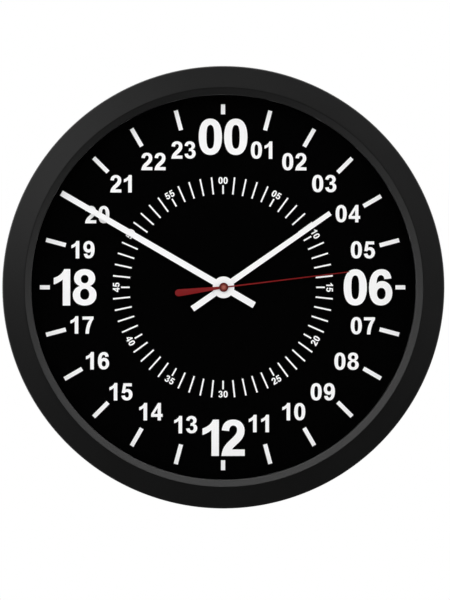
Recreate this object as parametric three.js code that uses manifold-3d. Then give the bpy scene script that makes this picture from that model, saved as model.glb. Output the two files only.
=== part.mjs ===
// Twenty-four hour wall clock: moulded round case, lens, printed dial, three hands,
// screwed rear cover with a keyhole hanger, and a battery quartz movement with its whole train.
// Millimetres. Pieces are drawn facing +Z with the wall at z = 0; the clock group then turns
// them so that +Z is up, the dial faces -Y and the hand axis meets the wall at the origin.
import * as THREE from 'three';
import { mergeVertices } from 'three/addons/utils/BufferGeometryUtils.js';
import Module from 'manifold-3d';

const wasm = await Module();
wasm.setup();

// Clearances
const seatGap = 0.3;
const fitGap = 0.15;
const runningGap = 0.7;
const reach = 1;

// Case ring
const caseDiameter = 355.6;
const caseDraft = 2;
const caseWall = 2.8;
const caseEdgeRound = 1;
const bezelWidth = 17.8;
const crestRound = 1.3;
const frontSlope = 0.36;
const innerBandWidth = 5.5;
const lipThickness = 4.8;
const bezelRise = 4.2;
const skirtWall = 2.4;
const lensSeatWidth = 5.1;
const rimSegments = 54;

// Lens and dial
const lensThickness = 2;
const lensHeadroom = 1.5;
const dialThickness = 0.8;
const dialSeatWidth = 1.9;

// Rear cover
const coverThickness = 2.5;
const coverRimHeight = 4;
const coverRimWall = 2;
const coverRibCount = 12;
const coverRibHeight = 2.4;
const coverRibWidth = 1.8;
const coverRibStart = 48;

// Cover screws
const screwCount = 6;
const screwFirstAngle = 60;
const screwThreadRadius = 1.5;
const screwHeadRadius = 3.2;
const screwHeadHeight = 1.9;
const screwReach = 9;
const screwSlotWidth = 0.9;
const screwFirstTurn = 15;
const screwTurnStep = 25;
const bossRadius = 4;

// Hanger turret
const hangerWidth = 46;
const hangerHeight = 40;
const hangerWall = 2.2;
const hangerCorner = 6;
const hangerCentre = 120;
const hangerStandoff = 2.5;
const keyholeMouthRadius = 5.5;
const keyholeSlotRadius = 2.7;
const keyholeSlotLength = 13;

// Movement housing
const contactRoom = 1.2;
const movementCorner = 4;
const movementWall = 1.2;
const knobRoom = 4;
const rearPlateThickness = 1.4;
const frontWallThickness = 1.8;
const bridgeThickness = 1.2;
const wheelThickness = 1;
const bridgeSideGap = 1.5;
const bridgeBottomGap = 1.2;
const bridgeCorner = 2;
const bridgePostRadius = 2;
const postInset = 4.3;
const postMargin = 0.45;
const fingerCutWidth = 16;

// Battery, size AA
const batteryRadius = 7.1;
const batteryLength = 49.2;
const batteryNubRadius = 2.7;
const batteryNubLength = 1;
const batteryEdge = 0.5;
const contactThickness = 0.4;
const stripWidth = 2.4;
const leafReach = 4.5;
const leafDrop = 5;
const tabHeight = 1.4;
const positiveHalfWidth = 1.6;
const positiveDimple = 1;
const positiveBoardLap = 4;

// Bush, washers and nut on the front of the movement
const bushRadius = 4;
const bushWall = 1.15;
const bushFlange = 1.3;
const bushFlangeThickness = 0.8;
const bushProud = 0.6;
const bushChamfer = 0.5;
const rubberWasherRadius = 10;
const rubberWasherThickness = 1;
const brassWasherRadius = 7.6;
const brassWasherThickness = 0.5;
const nutFlats = 12;
const nutThickness = 2.5;

// Arbors and tubes on the hand axis
const secondArborRadius = 0.6;
const cannonBore = 0.95;
const cannonRadius = 1.6;
const hourTubeBore = 1.95;
const hourTubeRadius = 2.5;
const trainArborRadius = 0.55;
const motionArborRadius = 0.7;
const knobArborRadius = 1.1;
const pivotDepth = 0.8;

// Train: wheel teeth, pinion teeth and the distances between the arbors
const pinionTeeth = 6;
const intermediateTeeth = 36;
const secondTeeth = 30;
const thirdTeeth = 45;
const centreTeeth = 48;
const motionTeeth = 24;
const hourTeeth = 36;
const rotorDistance = 7;
const intermediateDistance = 9.4;
const thirdDistance = 9;
const motionDistance = 10.5;
const rotorDirection = 135;
const intermediateDirection = 90;
const thirdDirection = 20;
const motionDirection = 150;
const pressureAngle = THREE.MathUtils.degToRad(25);
const toothBacklash = 0.12;
const wheelAddendum = 0.55;
const wheelDedendum = 1.15;
const pinionAddendum = 0.9;
const pinionDedendum = 0.85;

// Step motor and circuit
const rotorMagnetRadius = 2.6;
const rotorMagnetLength = 2.1;
const rotorAirGap = 0.5;
const statorThickness = 0.9;
const statorBarHalf = 3.6;
const statorLegHalf = 2;
const statorLegSpan = 12;
const coilInset = 3.8;
const coilCoreWidth = 3;
const coilCoreThickness = 1;
const coilLap = 0.5;
const bobbinBore = 1.85;
const bobbinTube = 2.25;
const bobbinFlange = 3.8;
const bobbinFlangeThickness = 1;
const windingRadius = 3.4;
const boardStatorGap = 1.15;
const boardHeight = 13;
const boardThickness = 1;
const boardCorner = 0.8;
const boardSideGap = 1.6;
const boardTopGap = 1.3;
const chipRadius = 3.2;
const chipHeight = 1.2;
const chipShift = 2.5;
const chipRise = 2;
const crystalRadius = 1.5;
const crystalLength = 8;
const crystalInset = 1;

// Setting knob
const knobRadius = 6.5;
const knobThickness = 2.6;
const knobFlutes = 16;
const knobFluteDepth = 0.6;

// Hands, with the time the clock shows given as turns clockwise from the top in degrees
const handThickness = 0.5;
const handGap = 1;
const hourHandAngle = 55.25;
const hourHandLength = 105.2;
const hourHandTail = 30.5;
const hourHandTipWidth = 4;
const hourHandTailWidth = 5;
const hourHubRadius = 6.5;
const minuteHandAngle = 300.15;
const minuteTipGap = 3.5;
const minuteHandTail = 28.7;
const minuteHandTipWidth = 4.6;
const minuteHandTailWidth = 5.25;
const minuteHubRadius = 8.75;
const secondHandAngle = 83;
const secondHandLength = 102.4;
const secondHandTipWidth = 0.7;
const secondHandRootWidth = 1.1;
const secondHandTail = 39.4;
const secondTailRootWidth = 2;
const secondTailEndRadius = 2.85;
const secondBossRadius = 3.7;
const secondBossStem = 1.5;
const secondBossHeight = 1.5;
const colletLength = 0.9;
const colletWall = 1.1;

// Places along the hand axis, from the wall to the front
const rearPlateRear = knobRoom;
const rearPlateFront = rearPlateRear + rearPlateThickness;
const secondWheelZ = rearPlateFront + runningGap;
const intermediateWheelZ = secondWheelZ + wheelThickness + runningGap;
const thirdWheelZ = intermediateWheelZ + wheelThickness + runningGap;
const centreWheelZ = thirdWheelZ + wheelThickness + runningGap;
const bridgeRear = centreWheelZ + wheelThickness + runningGap;
const bridgeFront = bridgeRear + bridgeThickness;
const motionWheelZ = bridgeFront + runningGap;
const hourWheelZ = motionWheelZ + wheelThickness + runningGap;
const frontWallRear = hourWheelZ + wheelThickness + runningGap;
const movementFront = frontWallRear + frontWallThickness;
const rubberWasherRear = movementFront + seatGap;
const coverRear = rubberWasherRear + rubberWasherThickness + seatGap;
const coverFront = coverRear + coverThickness;
const dialRear = coverFront + seatGap;
const dialFront = dialRear + dialThickness;
const brassWasherRear = dialFront + seatGap;
const nutRear = brassWasherRear + brassWasherThickness + seatGap;
const bushFront = nutRear + nutThickness + bushProud;
const hourHandZ = bushFront + handGap + colletLength;
const hourTubeFront = hourHandZ + handThickness + seatGap;
const minuteHandZ = hourTubeFront + handGap;
const cannonFront = minuteHandZ + handThickness + seatGap;
const secondHandZ = cannonFront + handGap;
const bossCapRear = secondHandZ + handThickness + seatGap;
const bossCapFront = bossCapRear + secondBossHeight;
const lensRear = bossCapFront + lensHeadroom;
const lipRear = lensRear + lensThickness + seatGap;
const lipFront = lipRear + lipThickness;
const crestZ = lipFront + bezelRise;

// Radii that follow from the case
const caseRadius = caseDiameter / 2;
const crestRadius = caseRadius - bezelWidth;
const lipRadius = crestRadius - innerBandWidth;
const minuteHandLength = lipRadius - minuteTipGap;
const lensSeatRadius = lipRadius + lensSeatWidth;
const lensRadius = lensSeatRadius - seatGap;
const skirtRadius = lensSeatRadius + skirtWall;
const dialRadius = lensSeatRadius + dialSeatWidth;
const rearInnerRadius = caseRadius - caseDraft - caseWall;
const coverRadius = rearInnerRadius - seatGap;
const screwCircle = (skirtRadius + rearInnerRadius) / 2;
const bushBore = bushRadius - bushWall;
const bushHole = bushRadius + seatGap;

// Solids from three.js geometry
function solidOf(geometry) {
  const bare = geometry.clone();
  bare.deleteAttribute('normal');
  bare.deleteAttribute('uv');
  const merged = mergeVertices(bare, 1e-4);
  const vertProperties = new Float32Array(merged.attributes.position.array);
  const triVerts = new Uint32Array(merged.index.array);
  return new wasm.Manifold(new wasm.Mesh({ numProp: 3, vertProperties, triVerts }));
}

function geometryOf(solid) {
  const mesh = solid.getMesh();
  const geometry = new THREE.BufferGeometry();
  geometry.setAttribute('position', new THREE.BufferAttribute(new Float32Array(mesh.vertProperties), 3));
  geometry.setIndex(new THREE.BufferAttribute(new Uint32Array(mesh.triVerts), 1));
  geometry.computeVertexNormals();
  return geometry;
}

// A profile of [radius, z] pairs turned about the hand axis.
function turned(profile, segments) {
  const closed = profile.map(([radius, z]) => new THREE.Vector2(radius, z));
  if (THREE.ShapeUtils.area(closed) < 0) {
    closed.reverse();
  }
  const first = closed[0];
  if (profile.every(([radius]) => radius > 1e-6)) {
    closed.push(first.clone());
  } else {
    const start = closed.findIndex((point, i) => {
      const before = closed[(i + closed.length - 1) % closed.length];
      return point.x < 1e-6 && before.x < 1e-6;
    });
    closed.push(...closed.splice(0, start));
  }
  const lathe = new THREE.LatheGeometry(closed, segments);
  lathe.rotateX(Math.PI / 2);
  return solidOf(lathe);
}

function disc(radius, rear, front, segments) {
  return turned([[0, rear], [radius, rear], [radius, front], [0, front]], segments);
}

function ring(inner, outer, rear, front, segments) {
  return turned([[inner, rear], [outer, rear], [outer, front], [inner, front]], segments);
}

function washer(inner, outer, rear, front, segments, holeSegments) {
  return disc(outer, rear, front, segments).subtract(disc(inner, rear - reach, front + reach, holeSegments));
}

function prism(shape, rear, front, curveSegments = 6) {
  const options = { depth: front - rear, bevelEnabled: false, curveSegments };
  const extruded = new THREE.ExtrudeGeometry(shape, options);
  extruded.translate(0, 0, rear);
  return solidOf(extruded);
}

function block(left, right, bottom, top, rear, front) {
  const box = new THREE.BoxGeometry(right - left, top - bottom, front - rear);
  box.translate((left + right) / 2, (bottom + top) / 2, (rear + front) / 2);
  return solidOf(box);
}

function roundedRect(left, right, bottom, top, radius) {
  const shape = new THREE.Shape();
  shape.moveTo(left + radius, bottom);
  shape.absarc(right - radius, bottom + radius, radius, -Math.PI / 2, 0);
  shape.absarc(right - radius, top - radius, radius, 0, Math.PI / 2);
  shape.absarc(left + radius, top - radius, radius, Math.PI / 2, Math.PI);
  shape.absarc(left + radius, bottom + radius, radius, Math.PI, Math.PI * 1.5);
  return shape;
}

function polygon(points) {
  return new THREE.Shape(points.map(([x, y]) => new THREE.Vector2(x, y)));
}

function circleHole(shape, x, y, radius) {
  const hole = new THREE.Path();
  hole.absarc(x, y, radius, 0, Math.PI * 2, true);
  shape.holes.push(hole);
}

function joined(...solids) {
  return solids.reduce((whole, next) => whole.add(next));
}

function cut(body, ...tools) {
  return tools.reduce((rest, tool) => rest.subtract(tool), body);
}

function turnedBy(solid, degrees) {
  return solid.rotate([0, 0, degrees]);
}

function polar(radius, degrees) {
  const angle = THREE.MathUtils.degToRad(degrees);
  return [radius * Math.cos(angle), radius * Math.sin(angle)];
}

// Involute gear outline; the first tooth points along phase.
function gearShape(teeth, module, addendum, dedendum, flankSteps, phase, bore) {
  const pitch = (teeth * module) / 2;
  const base = pitch * Math.cos(pressureAngle);
  const tip = pitch + addendum * module;
  const root = pitch - dedendum * module;
  const involute = (radius) => {
    const angle = Math.acos(Math.min(1, base / radius));
    return Math.tan(angle) - angle;
  };
  const halfTooth = (Math.PI / 2 - toothBacklash) / teeth + involute(pitch);
  const points = [];
  for (let tooth = 0; tooth < teeth; tooth += 1) {
    const middle = phase + (tooth * Math.PI * 2) / teeth;
    const flank = [];
    for (let step = 0; step <= flankSteps; step += 1) {
      const radius = root + ((tip - root) * step) / flankSteps;
      flank.push([radius, halfTooth - involute(Math.max(radius, base))]);
    }
    for (const [radius, half] of flank) {
      points.push([radius * Math.cos(middle - half), radius * Math.sin(middle - half)]);
    }
    for (const [radius, half] of flank.reverse()) {
      points.push([radius * Math.cos(middle + half), radius * Math.sin(middle + half)]);
    }
  }
  const shape = polygon(points);
  if (bore > 0) {
    circleHole(shape, 0, 0, bore);
  }
  return shape;
}

function wheel(teeth, distance, phase, rear, bore) {
  const module = (2 * distance) / (teeth + pinionTeeth);
  const shape = gearShape(teeth, module, wheelAddendum, wheelDedendum, 1, phase, bore);
  return prism(shape, rear, rear + wheelThickness, 5);
}

function pinion(wheelTeeth, distance, phase, wheelRear, bore) {
  const module = (2 * distance) / (wheelTeeth + pinionTeeth);
  const shape = gearShape(pinionTeeth, module, pinionAddendum, pinionDedendum, 2, phase, bore);
  const overhang = runningGap * 0.4;
  return prism(shape, wheelRear - overhang, wheelRear + wheelThickness + overhang, 5);
}

// A pinion tooth points at its wheel, and the wheel has a space there.
function meshPhases(direction, wheelTeeth) {
  const angle = THREE.MathUtils.degToRad(direction);
  return { pinionPhase: angle, wheelPhase: angle + Math.PI + Math.PI / wheelTeeth };
}

function material(color, roughness, metalness = 0, extra = {}) {
  return () => new THREE.MeshStandardMaterial({ color, roughness, metalness, ...extra });
}

const casePlastic = material('#232325', 0.5);
const dialBlack = material('#08080a', 0.7);
const lensClear = material('#e8f0f2', 0.05, 0, { transparent: true, opacity: 0.15 });
const handWhite = material('#f4f4f2', 0.5);
const handRed = material('#7d1a1c', 0.45);
const movementBlack = material('#1a1a1c', 0.55);
const gearWhite = material('#e9e6da', 0.5);
const steel = material('#b9bcc0', 0.35, 0.9);
const darkSteel = material('#55585c', 0.4, 0.9);
const brass = material('#c8a24a', 0.35, 0.9);
const copper = material('#b5652f', 0.4, 0.8);
const boardGreen = material('#1f5a34', 0.6);
const rubberBlack = material('#151515', 0.9);
const cellSleeve = material('#3c4a5c', 0.4);

const clock = new THREE.Group();
clock.name = 'clock';
clock.rotation.x = Math.PI / 2;

function piece(name, solid, makeMaterial, at = [0, 0], turn = 0) {
  const mesh = new THREE.Mesh(geometryOf(solid), makeMaterial());
  mesh.name = name;
  mesh.position.set(at[0], at[1], 0);
  mesh.rotation.z = THREE.MathUtils.degToRad(turn);
  clock.add(mesh);
}

// Case ring: drafted side wall, sloped front, round crest, inner band and lens lip.
const sideTop = crestZ - (caseRadius - crestRadius) * frontSlope;
const frontWallInner = (radius) => crestZ - caseWall - (radius - crestRadius) * frontSlope;
const innerWallTop = caseRadius - caseWall;
const caseProfile = [
  [caseRadius - caseDraft, 0],
  [caseRadius, sideTop - caseEdgeRound],
  [caseRadius - caseEdgeRound * 0.25, sideTop - caseEdgeRound * 0.35],
  [caseRadius - caseEdgeRound * 0.9, sideTop + caseEdgeRound * 0.9 * frontSlope],
  [crestRadius + crestRound * 0.8, crestZ - crestRound * 0.3],
  [crestRadius - crestRound * 0.2, crestZ],
  [crestRadius - crestRound, crestZ - crestRound * 0.6],
  [lipRadius, lipFront],
  [lipRadius, lipRear],
  [lensSeatRadius, lipRear],
  [lensSeatRadius, dialFront + seatGap],
  [skirtRadius, dialFront + seatGap],
  [skirtRadius, frontWallInner(skirtRadius)],
  [innerWallTop, frontWallInner(innerWallTop)],
  [rearInnerRadius, 0],
];
const bossRear = coverFront + seatGap;
let caseRing = turned(caseProfile, rimSegments);
const screwAngles = Array.from({ length: screwCount }, (_, i) => screwFirstAngle + (i * 360) / screwCount);
for (const angle of screwAngles) {
  const [x, y] = polar(screwCircle, angle);
  const bossFront = frontWallInner(screwCircle + bossRadius / 2) + caseWall * 0.5;
  const boss = disc(bossRadius, bossRear, bossFront, 10).translate([x, y, 0]);
  const pilot = disc(screwThreadRadius + fitGap, bossRear - reach, bossRear + screwReach, 8);
  caseRing = caseRing.add(boss).subtract(pilot.translate([x, y, 0]));
}
piece('case_ring', caseRing, casePlastic);

// Lens, dial
piece('lens', disc(lensRadius, lensRear, lensRear + lensThickness, rimSegments), lensClear);
const spacerRadius = lensSeatRadius - seatGap;
const spacerInner = lipRadius + fitGap;
const spacerRear = dialFront + seatGap;
const spacerFront = lensRear - seatGap;
piece('lens_spacer_ring', ring(spacerInner, spacerRadius, spacerRear, spacerFront, rimSegments), dialBlack);
piece('dial_plate', washer(bushHole, dialRadius, dialRear, dialFront, rimSegments, 16), dialBlack);

// Rear cover: plate, rim, radial ribs and the hanger turret with its keyhole.
const hangerBottom = hangerCentre - hangerHeight / 2;
const hangerTop = hangerCentre + hangerHeight / 2;
const plateProfile = [
  [0, coverRear],
  [coverRadius - coverRimWall, coverRear],
  [coverRadius - coverRimWall, coverRear - coverRimHeight],
  [coverRadius, coverRear - coverRimHeight],
  [coverRadius, coverFront],
  [0, coverFront],
];
const coverBore = disc(bushHole, coverRear - reach, coverFront + reach, 16);
let cover = turned(plateProfile, rimSegments).subtract(coverBore);
const ribRear = coverRear - coverRibHeight;
const ribFront = coverRear + coverThickness / 2;
const ribEnd = coverRadius - coverRimWall / 2;
for (let i = 0; i < coverRibCount; i += 1) {
  const rib = block(coverRibStart, ribEnd, -coverRibWidth / 2, coverRibWidth / 2, ribRear, ribFront);
  cover = cover.add(turnedBy(rib, ((i + 0.5) * 360) / coverRibCount));
}
const turretOutline = roundedRect(-hangerWidth / 2, hangerWidth / 2, hangerBottom, hangerTop, hangerCorner);
const pocketOutline = roundedRect(
  -hangerWidth / 2 + hangerWall,
  hangerWidth / 2 - hangerWall,
  hangerBottom + hangerWall,
  hangerTop - hangerWall,
  hangerCorner - hangerWall,
);
const pocketRear = hangerStandoff + hangerWall;
cover = cover.add(prism(turretOutline, hangerStandoff, coverFront, 4));
cover = cover.subtract(prism(pocketOutline, pocketRear, coverFront + reach, 4));
const mouthY = hangerCentre - keyholeSlotLength / 2;
const slotTop = mouthY + keyholeSlotLength;
const keyholeSlot = new THREE.Shape();
keyholeSlot.moveTo(-keyholeSlotRadius, mouthY);
keyholeSlot.lineTo(keyholeSlotRadius, mouthY);
keyholeSlot.absarc(0, slotTop, keyholeSlotRadius, 0, Math.PI);
const mouth = disc(keyholeMouthRadius, hangerStandoff - reach, pocketRear + reach, 24);
cover = cut(
  cover,
  mouth.translate([0, mouthY, 0]),
  prism(keyholeSlot, hangerStandoff - reach, pocketRear + reach, 6),
);
for (const angle of screwAngles) {
  const [x, y] = polar(screwCircle, angle);
  const padRear = coverRear - coverRimHeight;
  const seat = disc(screwHeadRadius + runningGap, padRear - reach, coverRear, 12);
  const hole = disc(screwThreadRadius + seatGap, coverRear - reach, coverFront + reach, 8);
  cover = cut(cover, seat.translate([x, y, 0]), hole.translate([x, y, 0]));
}
piece('rear_cover', cover, casePlastic);

// Cover screws, heads to the rear
const screwHeadFront = coverRear - seatGap;
const screwTip = bossRear + screwReach - reach;
const screwProfile = [
  [0, screwHeadFront - screwHeadHeight],
  [screwHeadRadius * 0.8, screwHeadFront - screwHeadHeight],
  [screwHeadRadius, screwHeadFront - screwHeadHeight * 0.6],
  [screwHeadRadius, screwHeadFront],
  [screwThreadRadius, screwHeadFront],
  [screwThreadRadius, screwTip - screwThreadRadius],
  [0, screwTip],
];
const screwHeadRear = screwHeadFront - screwHeadHeight;
const slotHalf = screwSlotWidth / 2;
const slotArm = screwHeadRadius * 0.62;
const crossDepth = screwHeadRear + screwHeadHeight * 0.6;
const crossSlot = joined(
  block(-slotArm, slotArm, -slotHalf, slotHalf, screwHeadRear - reach, crossDepth),
  block(-slotHalf, slotHalf, -slotArm, slotArm, screwHeadRear - reach, crossDepth),
);
const screw = turned(screwProfile, 8).subtract(crossSlot);
screwAngles.forEach((angle, i) => {
  const turn = screwFirstTurn + i * screwTurnStep;
  piece(`cover_screw_${i + 1}`, screw, darkSteel, polar(screwCircle, angle), turn);
});

// Arbor places, seen from the front
const thirdAt = polar(thirdDistance, thirdDirection);
const intermediateAt = polar(intermediateDistance, intermediateDirection);
const motionAt = polar(motionDistance, motionDirection);
const rotorStep = polar(rotorDistance, rotorDirection);
const rotorAt = [intermediateAt[0] + rotorStep[0], intermediateAt[1] + rotorStep[1]];
const trainArbors = [thirdAt, intermediateAt, rotorAt];

// Movement housing: box with a train room, a battery bay, posts for the bridge and the bush bore.
const movementSize = batteryLength + 2 * (batteryNubLength + contactRoom + movementWall);
const half = movementSize / 2;
const bayBottom = -half + movementWall;
const bayTop = bayBottom + 2 * batteryRadius + 2 * seatGap;
const trainBottom = bayTop + movementWall;
const roomHalf = half - movementWall;
const coilRise = roomHalf - coilInset;
const legLeft = rotorAt[0] - statorLegSpan;
const legRight = rotorAt[0] + statorLegSpan;
const boardLeft = legRight + statorLegHalf + boardStatorGap;
const boardRight = roomHalf - boardSideGap;
const boardCentreX = (boardLeft + boardRight) / 2;
const boardCentreY = roomHalf - boardTopGap - boardHeight / 2;
const batteryY = (bayBottom + bayTop) / 2;
const batteryZ = frontWallRear - seatGap - batteryRadius;
const innerCorner = movementCorner - movementWall;
const housingOutline = roundedRect(-half, half, -half, half, movementCorner);
const trainRoom = roundedRect(-roomHalf, roomHalf, trainBottom, roomHalf, innerCorner);
const bayRoom = roundedRect(-roomHalf, roomHalf, bayBottom, bayTop, innerCorner);
const plateBottom = trainBottom - movementWall / 2;
const plateSeat = rearPlateFront + seatGap;
let housing = cut(
  prism(housingOutline, rearPlateRear, movementFront, 4),
  prism(trainRoom, rearPlateRear - reach, frontWallRear, 2),
  prism(bayRoom, rearPlateRear - reach, frontWallRear, 3),
  block(-roomHalf, roomHalf, batteryY, bayTop, rearPlateRear - reach, frontWallRear),
  block(-half - reach, half + reach, plateBottom, half + reach, rearPlateRear - reach, plateSeat),
);
housing = housing.subtract(
  block(
    -fingerCutWidth / 2,
    fingerCutWidth / 2,
    -half - reach,
    bayBottom + reach,
    rearPlateRear - reach,
    batteryZ,
  ),
);
const bridgeTop = rotorAt[1] + statorBarHalf;
const postX = roomHalf - postInset;
const postRows = [trainBottom + postInset, bridgeTop - bridgePostRadius - postMargin];
for (const y of postRows) {
  for (const x of [-postX, postX]) {
    const post = disc(bridgePostRadius, bridgeFront + seatGap, frontWallRear + reach, 8);
    housing = housing.add(post.translate([x, y, 0]));
  }
}
const bushFlangeRadius = bushRadius + bushFlange;
const flangeFront = frontWallRear + bushFlangeThickness;
housing = cut(
  housing,
  disc(bushRadius + fitGap, frontWallRear - reach, movementFront + reach, 16),
  disc(bushFlangeRadius + fitGap, frontWallRear - reach, flangeFront + fitGap, 16),
  disc(motionArborRadius + fitGap, frontWallRear - reach, frontWallRear + pivotDepth + fitGap, 12)
    .translate([motionAt[0], motionAt[1], 0]),
);
const negativeX = boardCentreX;
const stripRear = frontWallRear - seatGap - stripWidth;
const stripFront = frontWallRear - seatGap;
const stripY = bayTop - seatGap - contactThickness;
const positiveX = roomHalf - seatGap - contactThickness;
const positiveRear = batteryZ - positiveHalfWidth;
const positiveFront = batteryZ + positiveHalfWidth;
const slotGap = seatGap;
housing = cut(
  housing,
  block(
    negativeX - slotGap,
    negativeX + contactThickness + slotGap,
    bayTop - reach,
    trainBottom + reach,
    stripRear - slotGap,
    stripFront + slotGap,
  ),
  block(
    positiveX - slotGap,
    positiveX + contactThickness + slotGap,
    bayTop - reach,
    trainBottom + innerCorner,
    positiveRear - slotGap,
    positiveFront + slotGap,
  ),
);
piece('movement_housing', housing, movementBlack);

// Movement rear plate with pivot holes and the knob arbor's hole
const rearPlateOutline = roundedRect(-half, half, plateBottom + seatGap, half, movementCorner);
let rearPlate = prism(rearPlateOutline, rearPlateRear, rearPlateFront, 4);
const pivotRear = rearPlateFront - pivotDepth;
const pivotHole = disc(trainArborRadius + fitGap, pivotRear - fitGap, rearPlateFront + reach, 8);
rearPlate = cut(
  rearPlate,
  disc(secondArborRadius + fitGap, pivotRear - fitGap, rearPlateFront + reach, 8),
  ...trainArbors.map(([x, y]) => pivotHole.translate([x, y, 0])),
  disc(knobArborRadius + fitGap, rearPlateRear - reach, rearPlateFront + reach, 16)
    .translate([motionAt[0], motionAt[1], 0]),
);
piece('movement_rear_plate', rearPlate, movementBlack);

// Train bridge between the going train and the motion work
const bridgeHalf = roomHalf - bridgeSideGap;
const bridgeBottom = trainBottom + bridgeBottomGap;
const bridgeOutline = roundedRect(-bridgeHalf, bridgeHalf, bridgeBottom, bridgeTop, bridgeCorner);
circleHole(bridgeOutline, 0, 0, cannonRadius + seatGap);
circleHole(bridgeOutline, motionAt[0], motionAt[1], knobArborRadius + seatGap);
const bridgePivot = disc(trainArborRadius + fitGap, bridgeRear - reach, bridgeRear + pivotDepth + fitGap, 8);
const bridge = cut(
  prism(bridgeOutline, bridgeRear, bridgeFront, 4),
  ...trainArbors.map(([x, y]) => bridgePivot.translate([x, y, 0])),
);
piece('train_bridge', bridge, gearWhite);

// Bush, washers, nut
const bushProfile = [
  [bushBore, frontWallRear],
  [bushFlangeRadius, frontWallRear],
  [bushFlangeRadius, flangeFront],
  [bushRadius, flangeFront],
  [bushRadius, bushFront - bushChamfer],
  [bushRadius - bushChamfer, bushFront],
  [bushBore, bushFront],
];
piece('threaded_bush', turned(bushProfile, 16), brass);
const rubberFront = rubberWasherRear + rubberWasherThickness;
piece('rubber_washer', ring(bushHole, rubberWasherRadius, rubberWasherRear, rubberFront, 16), rubberBlack);
const brassFront = brassWasherRear + brassWasherThickness;
piece('brass_washer', ring(bushHole, brassWasherRadius, brassWasherRear, brassFront, 16), brass);
const nutCorner = nutFlats / 2 / Math.cos(Math.PI / 6);
const nutOutline = polygon(Array.from({ length: 6 }, (_, i) => polar(nutCorner, 30 + i * 60)));
circleHole(nutOutline, 0, 0, bushRadius + fitGap);
piece('hex_nut', prism(nutOutline, nutRear, nutRear + nutThickness, 8), brass);

// Battery and its two contact strips
const batteryHalf = batteryLength / 2;
const cellProfile = [
  [0, -batteryHalf],
  [batteryRadius - batteryEdge, -batteryHalf],
  [batteryRadius, -batteryHalf + batteryEdge],
  [batteryRadius, batteryHalf - batteryEdge],
  [batteryRadius - batteryEdge, batteryHalf],
  [batteryNubRadius, batteryHalf],
  [batteryNubRadius, batteryHalf + batteryNubLength],
  [0, batteryHalf + batteryNubLength],
];
const cell = turned(cellProfile, 16).rotate([0, 90, 0]).translate([0, batteryY, batteryZ]);
piece('battery', cell, cellSleeve);
const leafRear = batteryZ - leafReach;
const leafLow = batteryY - leafDrop;
const leafLeft = -roomHalf + seatGap;
const leafTouch = -batteryHalf - seatGap;
const leafInner = leafLeft + contactThickness;
const leafOutline = polygon([
  [leafLeft, leafLow],
  [leafInner, leafLow],
  [leafTouch, batteryY],
  [leafInner, batteryY + leafReach],
  [leafInner, stripY + contactThickness],
  [leafLeft, stripY + contactThickness],
  [leafLeft, batteryY + leafReach],
  [leafTouch - contactThickness, batteryY],
]);
const tabBottom = bridgeTop + runningGap;
const tabTop = tabBottom + tabHeight;
const stripOutline = polygon([
  [leafLeft, stripY],
  [negativeX, stripY],
  [negativeX + contactThickness, stripY],
  [negativeX + contactThickness, tabTop],
  [negativeX, tabTop],
  [negativeX, stripY + contactThickness],
  [leafLeft, stripY + contactThickness],
]);
const negative = joined(
  prism(leafOutline, leafRear, stripFront),
  prism(stripOutline, stripRear, stripFront),
  block(negativeX, negativeX + contactThickness, tabBottom, tabTop, bridgeRear, stripFront),
);
piece('contact_negative', negative, steel);
const positiveTouch = batteryHalf + batteryNubLength + seatGap;
const positiveOuter = positiveX + contactThickness;
const positiveTop = boardCentreY - boardHeight / 2 + positiveBoardLap;
const positiveOutline = polygon([
  [positiveX, leafLow],
  [positiveOuter, leafLow],
  [positiveTouch + contactThickness, batteryY - positiveDimple],
  [positiveTouch + contactThickness, batteryY + positiveDimple],
  [positiveOuter, batteryY + leafDrop],
  [positiveOuter, positiveTop],
  [positiveX, positiveTop],
  [positiveX, batteryY + leafDrop],
  [positiveTouch, batteryY + positiveDimple],
  [positiveTouch, batteryY - positiveDimple],
]);
piece('contact_positive', prism(positiveOutline, positiveRear, positiveFront), steel);

// Step motor: stator plate, coil core, bobbin and winding
const statorFront = bridgeRear - seatGap;
const statorRear = statorFront - statorThickness;
const coilTop = coilRise + coilCoreWidth / 2 + coilLap;
const statorOutline = polygon([
  [legLeft - statorLegHalf, rotorAt[1] - statorBarHalf],
  [legRight + statorLegHalf, rotorAt[1] - statorBarHalf],
  [legRight + statorLegHalf, coilTop],
  [legRight - statorLegHalf, coilTop],
  [legRight - statorLegHalf, rotorAt[1] + statorBarHalf],
  [legLeft + statorLegHalf, rotorAt[1] + statorBarHalf],
  [legLeft + statorLegHalf, coilTop],
  [legLeft - statorLegHalf, coilTop],
]);
circleHole(statorOutline, rotorAt[0], rotorAt[1], rotorMagnetRadius + rotorAirGap);
piece('stator', prism(statorOutline, statorRear, statorFront, 8), darkSteel);
const coreFront = statorRear - seatGap;
const coreRear = coreFront - coilCoreThickness;
const coilZ = (coreFront + coreRear) / 2;
const coreBar = block(
  legLeft - statorLegHalf,
  legRight + statorLegHalf,
  coilRise - coilCoreWidth / 2,
  coilRise + coilCoreWidth / 2,
  coreRear,
  coreFront,
);
piece('coil_core', coreBar, darkSteel);
const bobbinHalf = statorLegSpan - statorLegHalf - seatGap;
const flangeInner = bobbinHalf - bobbinFlangeThickness;
const bobbinProfile = [
  [bobbinBore, -bobbinHalf],
  [bobbinFlange, -bobbinHalf],
  [bobbinFlange, -flangeInner],
  [bobbinTube, -flangeInner],
  [bobbinTube, flangeInner],
  [bobbinFlange, flangeInner],
  [bobbinFlange, bobbinHalf],
  [bobbinBore, bobbinHalf],
];
const alongCoil = (solid) => solid.rotate([0, 90, 0]).translate([rotorAt[0], coilRise, coilZ]);
piece('coil_bobbin', alongCoil(turned(bobbinProfile, 12)), gearWhite);
const windingHalf = flangeInner - fitGap;
const winding = ring(bobbinTube + fitGap, windingRadius, -windingHalf, windingHalf, 14);
piece('coil_winding', alongCoil(winding), copper);

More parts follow.
